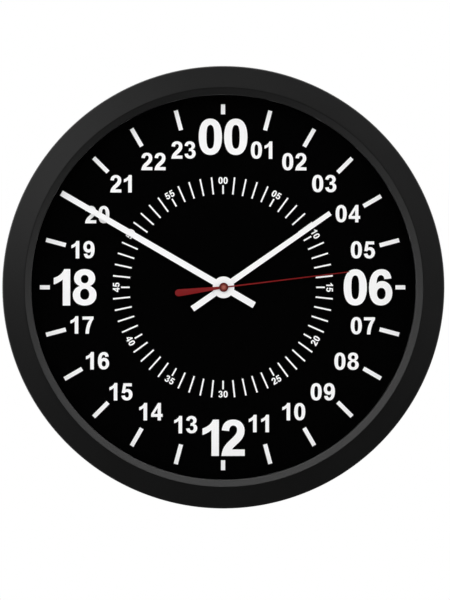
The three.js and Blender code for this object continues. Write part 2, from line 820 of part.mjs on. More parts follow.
// Circuit board with its chip and crystal
const boardFront = bridgeRear - seatGap;
const boardRear = boardFront - boardThickness;
const boardBottom = boardCentreY - boardHeight / 2;
const boardTop = boardCentreY + boardHeight / 2;
const boardOutline = roundedRect(boardLeft, boardRight, boardBottom, boardTop, boardCorner);
piece('circuit_board', prism(boardOutline, boardRear, boardFront, 2), boardGreen);
const chipFront = boardRear - seatGap;
const chipProfile = [
  [0, chipFront - chipHeight],
  [chipRadius * 0.55, chipFront - chipHeight * 0.85],
  [chipRadius * 0.9, chipFront - chipHeight * 0.4],
  [chipRadius, chipFront],
  [0, chipFront],
];
const chipPlace = [boardCentreX - chipShift, boardCentreY + chipRise];
piece('driver_chip', turned(chipProfile, 16), rubberBlack, chipPlace);
const crystalFront = boardRear - seatGap;
const crystal = disc(crystalRadius, -crystalLength / 2, crystalLength / 2, 14)
  .rotate([90, 0, 0])
  .translate([boardRight - crystalRadius - crystalInset, boardCentreY, crystalFront - crystalRadius]);
piece('quartz_crystal', crystal, steel);

// Wheels and pinions; where the wheel lies back along the arbor's direction, half a turn is added.
const halfTurn = 180;
const rotorMesh = meshPhases(rotorDirection + halfTurn, intermediateTeeth);
const intermediateMesh = meshPhases(intermediateDirection + halfTurn, secondTeeth);
const thirdMesh = meshPhases(thirdDirection, thirdTeeth);
const centreMesh = meshPhases(thirdDirection + halfTurn, centreTeeth);
const motionMesh = meshPhases(motionDirection, motionTeeth);
const hourMesh = meshPhases(motionDirection + halfTurn, hourTeeth);
const bridgePivotEnd = bridgeRear + pivotDepth;

const magnetFront = statorFront;
const magnetRear = magnetFront - rotorMagnetLength;
const magnet = ring(trainArborRadius + fitGap, rotorMagnetRadius, magnetRear, magnetFront, 14);
piece('rotor_magnet', magnet, darkSteel, rotorAt);
const rotorPinion = joined(
  pinion(intermediateTeeth, rotorDistance, rotorMesh.pinionPhase, intermediateWheelZ, 0),
  disc(trainArborRadius, pivotRear, bridgePivotEnd, 8),
);
piece('rotor_pinion', rotorPinion, gearWhite, rotorAt);
const intermediateWheel = joined(
  wheel(intermediateTeeth, rotorDistance, rotorMesh.wheelPhase, intermediateWheelZ, 0),
  pinion(secondTeeth, intermediateDistance, intermediateMesh.pinionPhase, secondWheelZ, 0),
  disc(trainArborRadius, pivotRear, bridgePivotEnd, 8),
);
piece('intermediate_wheel', intermediateWheel, gearWhite, intermediateAt);
const arborFront = bossCapRear + secondBossHeight * 0.4;
const secondWheel = joined(
  wheel(secondTeeth, intermediateDistance, intermediateMesh.wheelPhase, secondWheelZ, 0),
  pinion(thirdTeeth, thirdDistance, thirdMesh.pinionPhase, thirdWheelZ, 0),
  disc(secondArborRadius, pivotRear, arborFront, 12),
);
piece('second_wheel', secondWheel, gearWhite);
const thirdWheel = joined(
  wheel(thirdTeeth, thirdDistance, thirdMesh.wheelPhase, thirdWheelZ, 0),
  pinion(centreTeeth, thirdDistance, centreMesh.pinionPhase, centreWheelZ, 0),
  disc(trainArborRadius, pivotRear, bridgePivotEnd, 8),
);
piece('third_wheel', thirdWheel, gearWhite, thirdAt);
const centreBore = cannonRadius + fitGap;
const centreWheel = wheel(centreTeeth, thirdDistance, centreMesh.wheelPhase, centreWheelZ, centreBore);
piece('centre_wheel', centreWheel, gearWhite);
const cannonRear = centreWheelZ - runningGap * 0.2;
const cannon = joined(
  pinion(motionTeeth, motionDistance, motionMesh.pinionPhase, motionWheelZ, cannonBore),
  ring(cannonBore, cannonRadius, cannonRear, cannonFront, 12),
);
piece('minute_cannon', cannon, steel);
const knobRear = rearPlateRear - seatGap - knobThickness;
const knobBoreRear = knobRear + knobThickness * 0.35;
const motionWheel = joined(
  wheel(motionTeeth, motionDistance, motionMesh.wheelPhase, motionWheelZ, 0),
  pinion(hourTeeth, motionDistance, hourMesh.pinionPhase, hourWheelZ, 0),
  disc(knobArborRadius, knobBoreRear + fitGap, motionWheelZ + wheelThickness / 2, 12),
  disc(motionArborRadius, motionWheelZ, frontWallRear + pivotDepth, 12),
);
piece('motion_wheel', motionWheel, gearWhite, motionAt);
const hourWheel = joined(
  wheel(hourTeeth, motionDistance, hourMesh.wheelPhase, hourWheelZ, hourTubeBore),
  ring(hourTubeBore, hourTubeRadius, hourWheelZ, hourTubeFront, 12),
);
piece('hour_wheel', hourWheel, gearWhite);

// Setting knob on the rear end of the motion arbor
const flutePoints = Array.from({ length: knobFlutes * 4 }, (_, i) => {
  const radius = i % 4 < 2 ? knobRadius : knobRadius - knobFluteDepth;
  return polar(radius, (i * 90) / knobFlutes);
});
const knob = cut(
  prism(polygon(flutePoints), knobRear, rearPlateRear - seatGap),
  disc(knobArborRadius + fitGap, knobBoreRear, rearPlateRear, 12),
);
piece('setting_knob', knob, movementBlack, motionAt);

// Hands. A blade is drawn pointing up, with its hub, its collet and the bore for its tube.
function handBlade(length, tail, tipWidth, tailWidth) {
  return polygon([
    [-tailWidth / 2, -tail],
    [tailWidth / 2, -tail],
    [tipWidth / 2, length],
    [-tipWidth / 2, length],
  ]);
}

function batonHand(blade, hubRadius, tubeRadius, rear, colletRear) {
  const front = rear + handThickness;
  const bore = tubeRadius + fitGap;
  const body = joined(
    prism(blade, rear, front),
    disc(hubRadius, rear, front, 24),
    ring(bore, bore + colletWall, colletRear, front, 12),
  );
  return body.subtract(disc(bore, colletRear - reach, front + reach, 12));
}

const hourBlade = handBlade(hourHandLength, hourHandTail, hourHandTipWidth, hourHandTailWidth);
const hourCollet = hourHandZ - colletLength;
const hourHand = batonHand(hourBlade, hourHubRadius, hourTubeRadius, hourHandZ, hourCollet);
piece('hour_hand', hourHand, handWhite, [0, 0], -hourHandAngle);
const minuteBlade = handBlade(minuteHandLength, minuteHandTail, minuteHandTipWidth, minuteHandTailWidth);
const minuteCollet = hourTubeFront + seatGap;
const minuteHand = batonHand(minuteBlade, minuteHubRadius, cannonRadius, minuteHandZ, minuteCollet);
piece('minute_hand', minuteHand, handWhite, [0, 0], -minuteHandAngle);

const tailEndY = -secondHandTail + secondTailEndRadius;
const secondOutline = new THREE.Shape();
secondOutline.moveTo(-secondTailEndRadius, tailEndY);
secondOutline.absarc(0, tailEndY, secondTailEndRadius, Math.PI, Math.PI * 2);
secondOutline.lineTo(secondTailRootWidth / 2, 0);
secondOutline.lineTo(secondHandRootWidth / 2, 0);
secondOutline.lineTo(secondHandTipWidth / 2, secondHandLength);
secondOutline.lineTo(-secondHandTipWidth / 2, secondHandLength);
secondOutline.lineTo(-secondHandRootWidth / 2, 0);
secondOutline.lineTo(-secondTailRootWidth / 2, 0);
const secondFront = secondHandZ + handThickness;
const secondHand = joined(
  prism(secondOutline, secondHandZ, secondFront, 8),
  disc(secondBossRadius - seatGap, secondHandZ, secondFront, 16),
).subtract(disc(secondBossStem + fitGap, secondHandZ - reach, secondFront + reach, 12));
piece('second_hand', secondHand, handRed, [0, 0], -secondHandAngle);
const bossStemRear = cannonFront + seatGap;
const bossBore = secondArborRadius + fitGap;
const bossProfile = [
  [bossBore, bossStemRear],
  [secondBossStem, bossStemRear],
  [secondBossStem, bossCapRear],
  [secondBossRadius, bossCapRear],
  [secondBossRadius, bossCapRear + secondBossHeight * 0.45],
  [secondBossRadius * 0.85, bossCapRear + secondBossHeight * 0.8],
  [secondBossRadius * 0.45, bossCapFront],
  [0, bossCapFront],
  [0, arborFront + fitGap],
  [bossBore, arborFront + fitGap],
];
piece('second_hand_boss', turned(bossProfile, 12), handRed, [0, 0], -secondHandAngle);

export default clock;
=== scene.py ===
"""Twenty-four hour wall clock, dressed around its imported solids.

Pieces are drawn in millimetres in the clock's drawing frame: x to the right, y up and z from the
wall towards the viewer, with the hand axis at x = y = 0. A finished piece is then set in the
frame in metres, where the dial faces -Y and the wall is the plane Y = 0.
"""
import logging
import math
import re
from dataclasses import dataclass
from enum import Enum
from typing import Any, Callable, ClassVar, Iterable, Sequence

import bmesh
import bpy
from bmesh.types import BMEdge, BMesh, BMVert
from mathutils import Matrix, Vector
from mathutils.geometry import interpolate_bezier


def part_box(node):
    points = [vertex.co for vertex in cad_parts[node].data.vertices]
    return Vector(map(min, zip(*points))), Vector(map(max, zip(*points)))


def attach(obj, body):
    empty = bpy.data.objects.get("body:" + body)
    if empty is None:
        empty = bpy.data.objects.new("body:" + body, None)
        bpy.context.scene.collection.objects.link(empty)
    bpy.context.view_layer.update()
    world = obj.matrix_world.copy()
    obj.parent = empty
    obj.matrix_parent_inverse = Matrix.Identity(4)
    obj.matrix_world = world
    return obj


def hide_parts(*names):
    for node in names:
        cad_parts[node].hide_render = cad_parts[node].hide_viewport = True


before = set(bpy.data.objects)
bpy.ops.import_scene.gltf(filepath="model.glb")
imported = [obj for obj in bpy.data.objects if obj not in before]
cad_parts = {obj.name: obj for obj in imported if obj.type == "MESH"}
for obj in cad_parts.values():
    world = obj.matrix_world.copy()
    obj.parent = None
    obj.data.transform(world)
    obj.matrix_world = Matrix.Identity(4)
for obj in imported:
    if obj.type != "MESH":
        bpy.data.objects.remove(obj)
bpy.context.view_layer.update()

LOG = logging.getLogger("wall_clock")
MM = 0.001
FULL_TURN = 2 * math.pi
NEAR = 1e-4
SHARP_ANGLE = math.radians(34)
ROUND_PROFILE = 0.5
# Plain corners hold a rounding from this far beside it, on sides at least this many times as long.
HOLD_MARGIN = 0.6
HOLD_SIDES = 3
# The gaps of pieces that sit on or turn in each other, and how far a cutter reaches past a face.
SEAT_GAP = 0.3
RUN_GAP = 0.15
OVERCUT = 1.0
# Sizes that several pieces share, in millimetres.
BUSH_RADIUS = 4.0
BUSH_HOLE = BUSH_RADIUS + SEAT_GAP
SCREW_COUNT = 6
KNOB_BORE = 1.25
CELL_RADIUS = 7.1
HAND_SHEET = 0.5
HAND_EDGE = 0.12
# The steps of a full turn, for what is as wide as the case and for small pieces.
RIM_STEPS = 288
ROUND_STEPS = 48
TO_WORLD = Matrix(((MM, 0, 0, 0), (0, 0, -MM, 0), (0, MM, 0, 0), (0, 0, 0, 1)))

Colour = tuple[float, float, float, float]
Point = tuple[float, float]
Outline = list[Point]


class Body(Enum):
    """The bodies that pieces ride on."""

    CLOCK = "clock_body"
    HOUR = "hour"
    MINUTE = "minute"
    SECOND = "second"
    MOTION = "motion_work"
    CELL = "cell"


class Slot(Enum):
    """The record's material slots."""

    CASE = "case_plastic"
    LENS = "lens_clear"
    DIAL = "dial_black"
    WHITE = "hand_white"
    RED = "hand_red"
    MOVEMENT = "movement_plastic"
    GEAR = "gear_plastic"
    STEEL = "steel"
    DARK_STEEL = "dark_steel"
    BRASS = "brass"
    COPPER = "copper"
    BOARD = "board_green"
    RUBBER = "rubber"
    SLEEVE = "cell_sleeve"


class Cut(Enum):
    """How one form changes another."""

    CARVE = "DIFFERENCE"
    JOIN = "UNION"
    KEEP = "INTERSECT"


class Signal:
    """A shader output that can stand in an expression, each step of which adds a Math node."""

    def __init__(self, graph: "Graph", socket: bpy.types.NodeSocket) -> None:
        """Holds the socket and the graph that it belongs to."""
        self.graph = graph
        self.socket = socket

    def _math(self, operation: str, first: "Signal | float", second: "Signal | float") -> "Signal":
        """Adds one Math node.

        Args:
            operation: The Math node's operation.
            first: Its first value.
            second: Its second value.

        Returns:
            The node's result.
        """
        return self.graph.signal("ShaderNodeMath", {"operation": operation}, {0: first, 1: second})

    def __add__(self, other: "Signal | float") -> "Signal":
        """Adds."""
        return self._math("ADD", self, other)

    def __radd__(self, other: float) -> "Signal":
        """Adds to a number."""
        return self._math("ADD", other, self)

    def __sub__(self, other: "Signal | float") -> "Signal":
        """Subtracts."""
        return self._math("SUBTRACT", self, other)

    def __rsub__(self, other: float) -> "Signal":
        """Subtracts from a number."""
        return self._math("SUBTRACT", other, self)

    def __mul__(self, other: "Signal | float") -> "Signal":
        """Multiplies."""
        return self._math("MULTIPLY", self, other)

    def __rmul__(self, other: float) -> "Signal":
        """Multiplies a number."""
        return self._math("MULTIPLY", other, self)

    def at_most(self, other: "Signal | float") -> "Signal":
        """Takes the lower of two values."""
        return self._math("MINIMUM", self, other)


class Graph:
    """The nodes of one material or world."""

    def __init__(self, tree: bpy.types.NodeTree) -> None:
        """Empties the tree and holds it."""
        self.tree = tree
        self.tree.nodes.clear()

    def node(self, kind: str, settings: dict[str, Any], inputs: dict[str | int, Any]) -> bpy.types.Node:
        """Adds one node.

        Args:
            kind: The node's type.
            settings: What is set first, such as a Math node's operation.
            inputs: A number, colour or signal for each named or numbered socket.

        Returns:
            The new node.
        """
        node = self.tree.nodes.new(kind)
        for name, value in settings.items():
            setattr(node, name, value)
        for name, value in inputs.items():
            if isinstance(value, Signal):
                self.tree.links.new(value.socket, node.inputs[name])
            else:
                node.inputs[name].default_value = value
        return node

    def signal(self, kind: str, settings: dict[str, Any], inputs: dict[str | int, Any],
               output: str | int = 0) -> Signal:
        """Adds one node and takes an output of it.

        Args:
            kind: The node's type.
            settings: What is set first.
            inputs: The values or signals of its sockets.
            output: The output's name or number.

        Returns:
            The output.
        """
        return Signal(self, self.node(kind, settings, inputs).outputs[output])

    def place(self) -> Signal:
        """Gives the piece's own coordinates, in metres."""
        return self.signal("ShaderNodeTexCoord", {}, {}, "Object")

    def blend(self, factor: Signal, low: Colour | Signal, high: Colour | Signal) -> Signal:
        """Blends two colours.

        Args:
            factor: 0 for the first colour and 1 for the second.
            low: The first colour.
            high: The second colour.

        Returns:
            The blended colour.
        """
        return self.signal("ShaderNodeMix", {"data_type": "RGBA"}, {0: factor, 6: low, 7: high}, 2)

    def ramp(self, value: Signal, low: float, high: float) -> Signal:
        """Stretches a part of a value's range over 0 to 1.

        Args:
            value: The value.
            low: What becomes 0.
            high: What becomes 1.

        Returns:
            The stretched value, held within 0 to 1.
        """
        inputs = {"Value": value, "From Min": low, "From Max": high}
        return self.signal("ShaderNodeMapRange", {"interpolation_type": "SMOOTHSTEP"}, inputs)

    def bump(self, height: Signal, depth_mm: float, strength: float) -> Signal:
        """Turns heights into normals.

        Args:
            height: Heights from 0 to 1.
            depth_mm: What a height of 1 measures.
            strength: The share of the effect that shows.

        Returns:
            The normals.
        """
        inputs = {"Height": height, "Distance": depth_mm * MM, "Strength": strength}
        return self.signal("ShaderNodeBump", {}, inputs, "Normal")

    def surface(self, inputs: dict[str | int, Any]) -> Signal:
        """Adds a Principled surface with these inputs."""
        return self.signal("ShaderNodeBsdfPrincipled", {}, inputs, "BSDF")

    def show(self, surface: Signal) -> None:
        """Sends a surface to a material's output."""
        self.node("ShaderNodeOutputMaterial", {}, {"Surface": surface})


def grey(value: float) -> Colour:
    """Gives a neutral colour."""
    return (value, value, value, 1.0)


def shaded(colour: Colour, factor: float) -> Colour:
    """Gives a lighter or darker version of a colour."""
    return (colour[0] * factor, colour[1] * factor, colour[2] * factor, 1.0)


@dataclass(frozen=True)
class Finish:
    """A material of the clock and the record's slot that it belongs to."""

    name: str
    slot: Slot

    def dress(self, graph: Graph) -> Signal:
        """Builds the surface of this finish."""
        raise NotImplementedError

    def material(self) -> bpy.types.Material:
        """Makes the material once and gives the same one after that.

        Returns:
            The material.
        """
        known = bpy.data.materials.get(self.name)
        if known:
            return known
        made = bpy.data.materials.new(self.name)
        made.use_nodes = True
        graph = Graph(made.node_tree)
        graph.show(self.dress(graph))
        return made


@dataclass(frozen=True)
class Clouds:
    """A cloudy pattern, with the size of its blotches in millimetres and its stretch along each axis."""

    LAYER_SHARE: ClassVar[float] = 0.55

    size: float
    detail: float
    stretch: tuple[float, float, float] = (1.0, 1.0, 1.0)

    def on(self, graph: Graph) -> Signal:
        """Adds the pattern to a material.

        Args:
            graph: The material's nodes.

        Returns:
            Values around a half.
        """
        scaled = graph.signal("ShaderNodeMapping", {}, {"Vector": graph.place(), "Scale": self.stretch})
        inputs = {"Vector": scaled, "Scale": 1 / (self.size * MM), "Detail": self.detail,
                  "Roughness": self.LAYER_SHARE}
        return graph.signal("ShaderNodeTexNoise", {}, inputs)


@dataclass(frozen=True)
class Bands:
    """A pattern of bands across an axis, a pitch in millimetres apart, soft unless edges are given."""

    METRE_SCALE: ClassVar[float] = math.pi / 10

    pitch: float
    axis: str
    wander: float = 0.0
    edges: tuple[float, float] | None = None

    def on(self, graph: Graph) -> Signal:
        """Adds the pattern to a material.

        Args:
            graph: The material's nodes.

        Returns:
            Values from 0 between the bands to 1 on them.
        """
        settings = {"wave_type": "BANDS", "bands_direction": self.axis, "wave_profile": "SIN"}
        inputs = {"Vector": graph.place(), "Scale": self.METRE_SCALE / (self.pitch * MM),
                  "Distortion": self.wander}
        bands = graph.signal("ShaderNodeTexWave", settings, inputs, "Fac")
        return graph.ramp(bands, *self.edges) if self.edges else bands


Pattern = Clouds | Bands


@dataclass(frozen=True)
class Textured(Finish):
    """A surface with a pattern in its colour and a grain in its relief, which both can dull its gloss.

    Where no grain is given, the pattern is the grain too.
    """

    colour: Colour
    roughness: float
    specular: float = 0.5
    pattern: Pattern = Clouds(14.0, 3.0)
    grain: Pattern | None = None
    shades: tuple[float, float] = (0.97, 1.03)
    pattern_dulling: float = 0.0
    grain_dulling: float = 0.0
    grain_depth: float = 0.0
    grain_share: float = 0.5
    metallic: float = 0.0
    coat: float = 0.0
    coat_roughness: float = 0.12

    def tint(self, graph: Graph, pattern: Signal) -> Signal:
        """Gives the colour, from one shade to the other over the pattern."""
        return graph.blend(pattern, *(shaded(self.colour, shade) for shade in self.shades))

    def dress(self, graph: Graph) -> Signal:
        """Builds the surface.

        Args:
            graph: The material's nodes.

        Returns:
            The surface.
        """
        pattern = self.pattern.on(graph)
        grain = self.grain.on(graph) if self.grain else pattern
        dulling = ((self.pattern_dulling, pattern), (self.grain_dulling, grain))
        inputs = {
            "Base Color": self.tint(graph, pattern),
            "Roughness": sum((share * value for share, value in dulling if share), self.roughness),
            "Specular IOR Level": self.specular,
            "Metallic": self.metallic,
            "Coat Weight": self.coat,
            "Coat Roughness": self.coat_roughness,
        }
        if self.grain_depth:
            inputs["Normal"] = graph.bump(grain, self.grain_depth, self.grain_share)
        return graph.surface(inputs)


@dataclass(frozen=True)
class MouldedPlastic(Textured):
    """Plastic with the fine sandy grain of its mould and a faint mottle in its gloss."""

    pattern: Pattern = Clouds(38.0, 4.0)
    grain: Pattern | None = Clouds(0.5, 3.0)
    shades: tuple[float, float] = (0.86, 1.14)
    pattern_dulling: float = 0.06
    grain_dulling: float = 0.05
    grain_depth: float = 0.045
    grain_share: float = 1.0


@dataclass(frozen=True)
class Enamel(Textured):
    """Sprayed paint on sheet metal, with a faint ripple."""

    specular: float = 0.25
    grain: Pattern | None = Clouds(0.9, 2.0)
    pattern_dulling: float = 0.08
    grain_depth: float = 0.004


@dataclass(frozen=True)
class PaintedHighlightDome(Textured):
    """Paint on a small dome about the hand axis, with a painted highlight: paler towards the middle of its
    crown.
    """

    specular: float = 0.15
    pattern: Pattern = Clouds(1.2, 3.0)
    pattern_dulling: float = 0.12
    # A painted highlight: the paler colour, its radius and where it starts to fade.
    highlight_colour: Colour = (0.36, 0.105, 0.078, 1.0)
    highlight_radius: float = 2.9
    highlight_start: float = 0.2
    highlight_wobble: float = 0.8

    def tint(self, graph: Graph, pattern: Signal) -> Signal:
        """Gives the colour, with a painted highlight: paler towards the middle of the crown.

        Args:
            graph: The material's nodes.
            pattern: What makes the painted highlight's edge uneven.

        Returns:
            The colour.
        """
        across = {0: graph.place(), 1: (1, 0, 1)}
        flat = graph.signal("ShaderNodeVectorMath", {"operation": "MULTIPLY"}, across)
        away = graph.signal("ShaderNodeVectorMath", {"operation": "LENGTH"}, {0: flat}, "Value")
        # A painted highlight: paler over the middle of the dome, with an uneven edge.
        edge = away + self.highlight_wobble * MM * (pattern - 0.5)
        radius = self.highlight_radius * MM
        highlight = 1 - graph.ramp(edge, self.highlight_start * radius, radius)
        return graph.blend(highlight, self.colour, self.highlight_colour)


@dataclass(frozen=True)
class PrintedSheet(Textured):
    """Ink screened on a dial sheet: matt, with the tooth of the screen."""

    specular: float = 0.12
    pattern: Pattern = Clouds(26.0, 3.0)
    grain: Pattern | None = Clouds(0.22, 2.0)
    grain_dulling: float = 0.08
    grain_depth: float = 0.006


@dataclass(frozen=True)
class WorkedMetal(Textured):
    """Rolled or turned metal: fine marks along one axis and a slight stain."""

    pattern: Pattern = Clouds(5.0, 3.0)
    grain: Pattern | None = Clouds(1.6, 3.0, (1.0, 14.0, 14.0))
    shades: tuple[float, float] = (0.82, 1.0)
    grain_dulling: float = 0.14
    grain_depth: float = 0.004
    metallic: float = 1.0


@dataclass(frozen=True)
class WoundWire(Textured):
    """Fine enamelled wire, wound turn by turn along x, with painted shade darkening the grooves between the
    turns.
    """

    pattern: Pattern = Bands(0.24, "X")
    # The darker shade lies in the grooves between turns: painted shade.
    shades: tuple[float, float] = (0.45, 1.0)
    pattern_dulling: float = -0.1
    grain_depth: float = 0.12
    grain_share: float = 0.7
    metallic: float = 0.85


@dataclass(frozen=True)
class Laminate(Textured):
    """A circuit board: solder mask over copper tracks that show as raised lines."""

    pattern: Pattern = Bands(0.9, "DIAGONAL", 2.0, (0.55, 0.65))
    shades: tuple[float, float] = (1.0, 1.9)
    pattern_dulling: float = -0.15
    grain_depth: float = 0.03
    grain_share: float = 0.6


@dataclass(frozen=True)
class SoftRubber(Textured):
    """Black rubber, matt and slightly dusty."""

    pattern: Pattern = Clouds(2.5, 4.0)
    shades: tuple[float, float] = (1.0, 1.8)
    pattern_dulling: float = 0.2
    grain_depth: float = 0.02


@dataclass(frozen=True)
class ShrinkSleeve(Textured):
    """The plain shrunk sleeve of a battery, faintly wrinkled, with a pale band near its raised end."""

    pattern: Pattern = Clouds(3.0, 2.0, (0.3, 1.0, 1.0))
    shades: tuple[float, float] = (0.9, 1.1)
    pattern_dulling: float = 0.1
    grain_depth: float = 0.02
    grain_share: float = 0.4
    coat: float = 0.3
    coat_roughness: float = 0.1
    band_colour: Colour = grey(0.55)
    band_ends: tuple[float, float] = (14.0, 17.5)
    band_blur: float = 0.15

    def tint(self, graph: Graph, pattern: Signal) -> Signal:
        """Gives the colour, with the pale band over it.

        Args:
            graph: The material's nodes.
            pattern: The wrinkles.

        Returns:
            The colour.
        """
        along = graph.signal("ShaderNodeSeparateXYZ", {}, {0: graph.place()}, "X")
        entry, leave = (graph.ramp(along, (end - self.band_blur) * MM, (end + self.band_blur) * MM)
                        for end in self.band_ends)
        return graph.blend(entry * (1 - leave), super().tint(graph, pattern), self.band_colour)


@dataclass(frozen=True)
class PaleFloor(Textured):
    """A plain pale floor, matt with a faint cloud."""

    specular: float = 0.1
    pattern: Pattern = Clouds(180.0, 3.0)
    shades: tuple[float, float] = (0.98, 1.02)
    pattern_dulling: float = 0.1


@dataclass(frozen=True)
class ClearSheet(Finish):
    """A clear flat lens: what lies behind shows through, under a faint gloss."""

    gloss_index: float = 1.05
    gloss_roughness: float = 0.03

    def dress(self, graph: Graph) -> Signal:
        """Builds the surface.

        Args:
            graph: The material's nodes.

        Returns:
            The surface.
        """
        gloss = graph.signal("ShaderNodeFresnel", {}, {"IOR": self.gloss_index})
        clear = graph.signal("ShaderNodeBsdfTransparent", {}, {})
        shine = graph.signal("ShaderNodeBsdfAnisotropic", {}, {"Roughness": self.gloss_roughness})
        return graph.signal("ShaderNodeMixShader", {}, {0: gloss, 1: clear, 2: shine})


CASE_BLACK = MouldedPlastic("moulded_case_black", Slot.CASE, grey(0.003), 0.38)
MOVEMENT_BLACK = MouldedPlastic("moulded_movement_black", Slot.MOVEMENT, grey(0.009), 0.45,
                                grain=Clouds(0.3, 3.0), grain_depth=0.022)
GEAR_IVORY = MouldedPlastic("gear_ivory", Slot.GEAR, (0.74, 0.70, 0.58, 1.0), 0.4,
                            pattern=Clouds(6.0, 4.0), grain=Clouds(0.3, 3.0), grain_depth=0.004)
DIAL_BLACK = PrintedSheet("dial_matt_black", Slot.DIAL, grey(0.0006), 0.82, specular=0.03)
DIAL_WHITE = PrintedSheet("dial_print_white", Slot.WHITE, grey(0.96), 0.7)
HAND_WHITE = Enamel("hand_enamel_white", Slot.WHITE, grey(0.96), 0.46)
HAND_RED = Enamel("hand_enamel_red", Slot.RED, (0.20, 0.006, 0.007, 1.0), 0.32, coat=0.05)
# The boss's paler middle is a painted highlight.
BOSS_RED = PaintedHighlightDome("boss_red_painted_highlight", Slot.RED, (0.105, 0.006, 0.005, 1.0), 0.4)
LENS_CLEAR = ClearSheet("lens_clear_sheet", Slot.LENS)
STEEL = WorkedMetal("strip_steel", Slot.STEEL, (0.58, 0.59, 0.60, 1.0), 0.24)
DARK_STEEL = WorkedMetal("blackened_steel", Slot.DARK_STEEL, (0.16, 0.165, 0.17, 1.0), 0.32)
BRASS = WorkedMetal("turned_brass", Slot.BRASS, (0.62, 0.43, 0.15, 1.0), 0.22,
                    grain=Clouds(1.6, 3.0, (14.0, 1.0, 14.0)))
COPPER_WIRE = WoundWire("copper_wire", Slot.COPPER, (0.56, 0.22, 0.08, 1.0), 0.42)
BOARD_GREEN = Laminate("board_green_mask", Slot.BOARD, (0.012, 0.085, 0.03, 1.0), 0.5)
RUBBER_BLACK = SoftRubber("washer_rubber", Slot.RUBBER, grey(0.008), 0.72)
CELL_SLEEVE = ShrinkSleeve("cell_sleeve_blue", Slot.SLEEVE, (0.035, 0.06, 0.10, 1.0), 0.26)
FLOOR_PALE = PaleFloor("floor_pale", Slot.WHITE, grey(0.72), 0.8)


@dataclass(frozen=True)
class Span:
    """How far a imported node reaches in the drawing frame, in millimetres."""

    left: float
    right: float
    bottom: float
    top: float
    rear: float
    front: float

    @classmethod
    def of(cls, node: str) -> "Span":
        """Measures a node.

        Args:
            node: The node's name.

        Returns:
            Its reach.
        """
        low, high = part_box(node)
        return cls(low.x / MM, high.x / MM, low.z / MM, high.z / MM, -high.y / MM, -low.y / MM)

    @property
    def radius(self) -> float:
        """The reach of a round node from the hand axis."""
        return max(self.right, self.top)

    @property
    def middle(self) -> Point:
        """The middle of the node, seen from the front."""
        return ((self.left + self.right) / 2, (self.bottom + self.top) / 2)


@dataclass(frozen=True)
class Corner:
    """A corner of a turned section: radius, place along the axis and rounding, in millimetres."""

    radius: float
    place: float
    rounding: float = 0.0
    steps: int = 4

    def away_from(self, other: "Corner") -> float:
        """Gives the distance to another corner."""
        return math.dist((self.radius, self.place), (other.radius, other.place))

    def toward(self, other: "Corner", distance: float) -> "Corner":
        """Gives a plain corner at a distance on the way to another.

        Args:
            other: The other corner.
            distance: How far to go.

        Returns:
            The corner on the way.
        """
        share = distance / self.away_from(other)
        return Corner(self.radius + (other.radius - self.radius) * share,
                      self.place + (other.place - self.place) * share)


def held(section: Sequence[Corner]) -> list[Corner]:
    """Adds a plain corner beside each rounding, which keeps long straight sides flat in their shading.

    Args:
        section: A closed section.

    Returns:
        The section with the added corners.
    """
    full: list[Corner] = []
    for before, corner, after in zip((section[-1], *section), section, (*section[1:], section[0])):
        reach = corner.rounding + HOLD_MARGIN
        if corner.rounding and corner.away_from(before) > HOLD_SIDES * reach:
            full.append(corner.toward(before, reach))
        full.append(corner)
        if corner.rounding and corner.away_from(after) > HOLD_SIDES * reach:
            full.append(corner.toward(after, reach))
    return full


def disc_section(reach: Span, inner: float, edge: float, steps: int, inner_edge: float = 0.0) -> list[Corner]:
    """Gives the section of a disc or flat ring about the hand axis.

    Args:
        reach: How far the piece reaches.
        inner: The radius of its hole.
        edge: The rounding of its outer edges.
        steps: The number of chords in a rounding.
        inner_edge: The rounding of the hole's edges.

    Returns:
        The section's corners.
    """
    return [
        Corner(inner, reach.rear, inner_edge, steps),
        Corner(reach.radius, reach.rear, edge, steps),
        Corner(reach.radius, reach.front, edge, steps),
        Corner(inner, reach.front, inner_edge, steps),
    ]


def thread_ridges(radius: float, depth: float, pitch: float, start: float, end: float) -> list[Corner]:
    """Gives the ridges of a thread along a shank.

    Args:
        radius: The shank's radius over the ridges.
        depth: The ridges' depth.
        pitch: From one ridge to the next.
        start: Where the shank starts.
        end: Where it ends.

    Returns:
        The section's corners.
    """
    corners: list[Corner] = []
    place = start + pitch
    while place < end - pitch:
        corners += [Corner(radius - depth, place), Corner(radius, place + pitch / 2)]
        place += pitch
    return corners


def compass(radius: float, turn: float) -> Point:
    """Gives the point at a radius and at a clockwise turn from the top, in degrees."""
    angle = math.radians(turn)
    return (radius * math.sin(angle), radius * math.cos(angle))


def arc(radius: float, start: float, end: float, steps: int, at: Point = (0.0, 0.0)) -> Outline:
    """Gives points on an arc, both ends included.

    Args:
        radius: The arc's radius.
        start: Where it starts, in degrees anticlockwise from +x.
        end: Where it ends.
        steps: The number of chords.
        at: The arc's centre.

    Returns:
        The points.
    """
    turns = [math.radians(start + (end - start) * i / steps) for i in range(steps + 1)]
    return [(at[0] + radius * math.cos(t), at[1] + radius * math.sin(t)) for t in turns]


def circle(radius: float, steps: int, at: Point = (0.0, 0.0)) -> Outline:
    """Gives points on a circle."""
    return arc(radius, 0, 360, steps, at)[:-1]


def rounded_rect(left: float, right: float, bottom: float, top: float, radius: float,
                 steps: int = 8) -> Outline:
    """Gives a rectangle with round corners.

    Args:
        left: Its left side.
        right: Its right side.
        bottom: Its lower side.
        top: Its upper side.
        radius: The radius of its corners.
        steps: The number of chords in a corner.

    Returns:
        The points, anticlockwise.
    """
    outline: Outline = []
    centres = ((right - radius, bottom + radius), (right - radius, top - radius),
               (left + radius, top - radius), (left + radius, bottom + radius))
    for i, centre in enumerate(centres):
        outline += arc(radius, 90 * (i - 1), 90 * i, steps, centre)
    return outline


